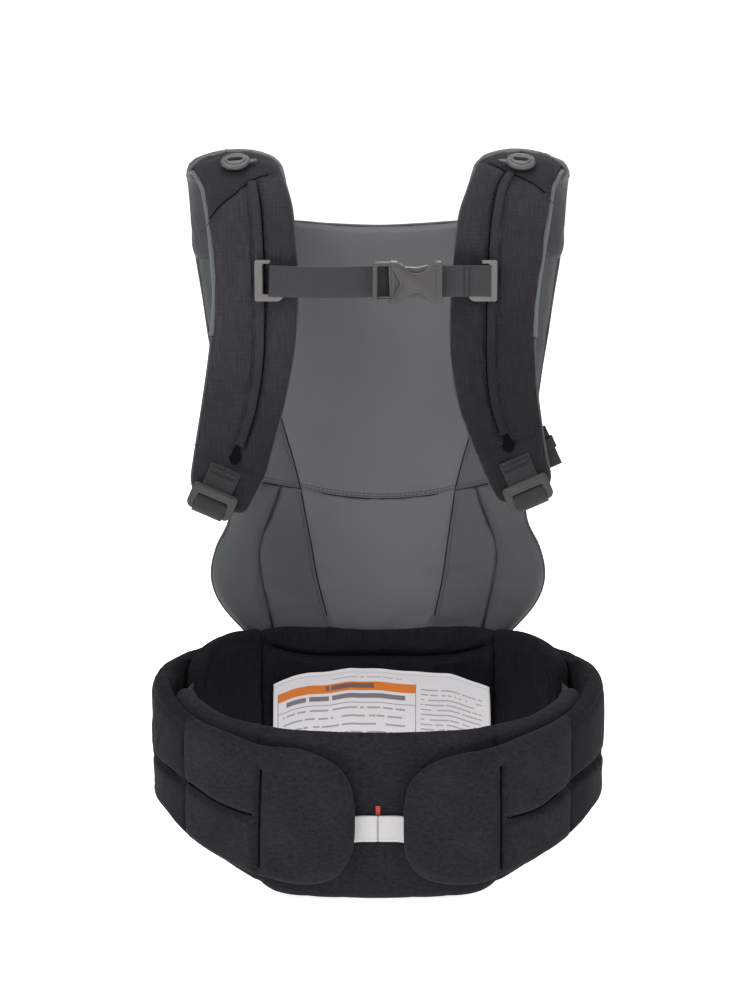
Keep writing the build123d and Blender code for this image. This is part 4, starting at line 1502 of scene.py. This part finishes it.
def labelMaterial():
    material, shader = baseMaterial("labelCloth", 0.55)
    coord = addNode(shader, "ShaderNodeTexCoord")
    parts = addNode(shader, "ShaderNodeSeparateXYZ", Vector=coord.outputs["UV"])
    u, v = parts.outputs[0], parts.outputs[1]
    weave = grain(shader, 900, 900, 2)
    color = ramp(weave, [(0.3, (0.70, 0.68, 0.70)), (0.7, (0.80, 0.78, 0.80))])
    ink, orange = (0.10, 0.09, 0.11, 1), (0.72, 0.20, 0.03, 1)
    divider, rule = label["divider"], label["rule"]
    color = mixed(color, orange, window(u, v, 0.0045, divider, *label["band"]))
    masks = [
        (lineRows(u, v, 0.0132, 0.0185, 0.046, 0.086, 0.008, 0.0042, 0.30), 0.85),
        (lineRows(u, v, 0.0222, 0.0275, 0.012, 0.112, 0.008, 0.0042, 0.36), 0.85),
        (lineRows(u, v, 0.0340, 0.0960, 0.009, 0.112, 0.0072, 0.0016, 0.42), 0.6),
        (lineRows(u, v, 0.0150, 0.0960, 0.1250, 0.178, 0.0044, 0.0012, 0.40), 0.55),
        (lineRows(u, v, 0.0072, 0.0094, 0.050, 0.110, 0.004, 0.0009, 0.40), 0.45),
        (window(u, v, 0.004, divider, rule, rule + 0.0006), 0.8),
        (window(u, v, 0.0040, 0.0047, 0.0112, 0.097), 0.8),
        (window(u, v, divider, divider + 0.0006, 0.0112, 0.097), 0.8),
        (between(v, 0.0030, 0.0036), 0.25),
    ]
    for mask, strength in masks:
        color = mixed(color, ink, times(mask, strength))
    link(color, shader.inputs["Base Color"])
    bumped(shader, weave, 0.0002, 0.5)
    return material


labelCloth = labelMaterial()


def labelPlace(u, d):
    # a point of the label: u across from its left edge, d down from its top edge
    s = np.interp(u, [0, 0.0274, 0.1534, 0.1879], [0.6034, 0.5637, 0.4377, 0.3877])
    top = np.interp(u, [0, 0.019, 0.034, 0.068, 0.108, 0.150, 0.1879],
                    [0.1190, 0.1256, 0.1281, 0.1316, 0.1307, 0.1263, 0.1181])
    top += 0.0005 * math.sin(u * 95) + 0.0003 * math.sin(u * 210 + 1.0)
    fade = math.exp(-d / 0.022)
    wavy = 0.0011 * fade * math.sin(u * 70 + 0.6) + 0.0006 * math.sin(u * 48 + d * 60)
    out = 0.0052 + wavy + 0.0030 * fade
    return farPlace(0.0362)(s, top - d, -out)


def makeLabel():
    across, down = 64, 36
    verts, uv, faces = [], [], []
    for j in range(down + 1):
        for i in range(across + 1):
            u, d = label["width"] * i / across, label["length"] * j / down
            verts.append(labelPlace(u * 0.1879 / label["width"], d))
            uv.append((u, d))
    for j in range(down):
        for i in range(across):
            a = j * (across + 1) + i
            faces.append((a, a + across + 1, a + across + 2, a + 1))
    piece = finishMesh("care_label_sheet", verts, faces, labelCloth, uv)
    shell = piece.modifiers.new("Cloth", "SOLIDIFY")
    shell.thickness = 0.0003
    shell.offset = 0
    applyModifiers(piece)
    return piece


labelSheet = makeLabel()
settle(labelSheet, "belt", ["care_label"])

# stitches and piping on the panel and belly pad

upperTree, seatTree, bellyTree = surfaceOf(upper), surfaceOf(seat), surfaceOf(belly)
seamLine = [(x, z) for x, z in panelEdges["seam"] if abs(x) < 112]
rows = [threadRow(upperTree, panelPlace, shifted(seamLine, 0, off)) for off in (3.0, 5.2)]
for sign in (-1, 1):
    line = [(sign * (x + 3), z) for x, z in centreSeam if 286 < z < 440]
    rows.append(threadRow(upperTree, panelPlace, line))
settle(stitches("upper_panel_stitches", rows, greyThread), "panel")
rows = []
for sign in (-1, 1):
    line = [(x + sign * 3, z) for x, z in centreAt(sign) if 155 < z < 275]
    rows.append(threadRow(seatTree, panelPlace, line))
settle(stitches("seat_stitches", rows, greyThread), "belt", blendTo=hinge)
rows = [threadRow(bellyTree, bellyPlace, shifted(rollSeam[1:-1], 0, -3.4), -1)]
settle(stitches("belly_roll_stitches", rows, blackThread), "belt")


def edgeCord(name, points, radius, material, body, blendTo=None):
    line = smoothLine(np.array(points) / 1000, 0.004)
    trim = cord(name, [panelPlace(s, t, 0.001) for s, t in line], radius, material, 1.0, (0, 1, 0))
    settle(trim, body, blendTo=blendTo)


for side, sign in sides.items():
    edgeCord(f"{side}_leg_piping", mirrored(panelEdges["leg"], sign), 0.0014, piping, "belt", hinge)
    edgeCord(f"{side}_ear_piping", mirrored(panelEdges["ear"], sign), 0.0014, piping, "panel")
edgeCord("neck_piping", panelEdges["neck"], 0.0010, panelFabric, "panel")
for name in ("upper", "lower"):
    repaint(f"{name}_prong", bucklePlastic)
print("label and trims are made")

# painted shade: fine dark lines that lie in the sewn seams, standing in for the shade in their grooves


def seamShadeLines(name, rows, radius, material, body, blendTo=None):
    parts = [cord("seam", row, radius, material, 0.8, (0.3, 0.1, 1)) for row in rows]
    settle(mergePieces(name, parts), body, blendTo=blendTo)


line = [p for p in centreSeam if 279 < p[1] < 440]
rows = [padLine(upperTree, panelPlace, mirrored(line, sign), 0.0001) for sign in (-1, 1)]
rows.append(padLine(upperTree, panelPlace, shifted([p for p in seamUp if abs(p[0]) < 118], 0, 0.9), 0.0001))
seamShadeLines("upper_panel_seam_shade", rows, 0.00055, seamShadow, "panel")
rows = [padLine(seatTree, panelPlace, [p for p in centreAt(sign) if 152 < p[1] < 284], 0.0001)
        for sign in (-1, 1)]
seamShadeLines("seat_seam_shade", rows, 0.00055, seamShadow, "belt", hinge)
rows = [padLine(bellyTree, bellyPlace, rollSeam[1:-1], 0.0001, outside=-1)]
seamShadeLines("belly_roll_seam_shade", rows, 0.0009, blackPartsAndSeamShade, "belt")
crossStitch = {"left": [(-143, 341), (-132, 336.5), (-93.6, 319.5)],
               "right": [(79, 332), (84, 336), (128.1, 355.3)]}
for side, sign in sides.items():
    wingTree = surfaceOf(bpy.data.objects[f"{side}_wing_pad"])
    rows = [padLine(wingTree, outerPlace, creaseAt[side], 0.0001),
            padLine(wingTree, outerPlace, [p for p in channelAt[side] if abs(p[0]) < 162], 0.0001)]
    seamShadeLines(f"{side}_wing_seam_shade", rows, 0.0011, blackPartsAndSeamShade, f"{side}_wing")
    hipTree = surfaceOf(bpy.data.objects[f"{side}_hip_pad"])
    line = [(sign * 238, 91)] + [p for p in channelAt[side] if abs(p[0]) > 163]
    seamShadeLines(f"{side}_hip_seam_shade", [padLine(hipTree, outerPlace, line, 0.0001)], 0.0008, blackPartsAndSeamShade,
              "belt", (f"{side}_wing", *beltStartEnd(sign)))
    tree = surfaceOf(strapPads[side])
    grooves = (shifted(railLine[side], -sign * 3.8), yokeLine[side][1:-1])
    rows = [padLine(tree, strapPlace, groove, 0.0001) for groove in grooves]
    seamShadeLines(f"{side}_strap_seam_shade", rows, 0.00055, blackPartsAndSeamShade, "panel",
              (f"{side}_strap", *strapHinge[side]))
    rows = [threadRow(tree, strapPlace, shifted(crossStitch[side], 0, 2.4))]
    settle(stitches(f"{side}_cross_stitches", rows, blackThread), f"{side}_strap")

# floor

floorMesh = bpy.data.meshes.new("floor")
corners = [(-60, -20, -0.004), (60, -20, -0.004), (60, 140, -0.004), (-60, 140, -0.004)]
floorMesh.from_pydata(corners, [], [(0, 1, 2, 3)])
paper, paperShader = baseMaterial("paper", 0.9, specular=0.1)
paperNoise = noiseValue(stretched(paperShader, (1, 1, 1), "Object"), 3.0, 2)
paperColor = ramp(paperNoise, [(0.3, (0.93, 0.92, 0.925)), (0.7, (0.95, 0.94, 0.945))])
link(paperColor, paperShader.inputs["Base Color"])
paperShader.inputs["Emission Color"].default_value = (1.0, 0.985, 0.99, 1)
paperShader.inputs["Emission Strength"].default_value = 0.84
floorMesh.materials.append(paper)
floor = newPiece("floor", floorMesh)
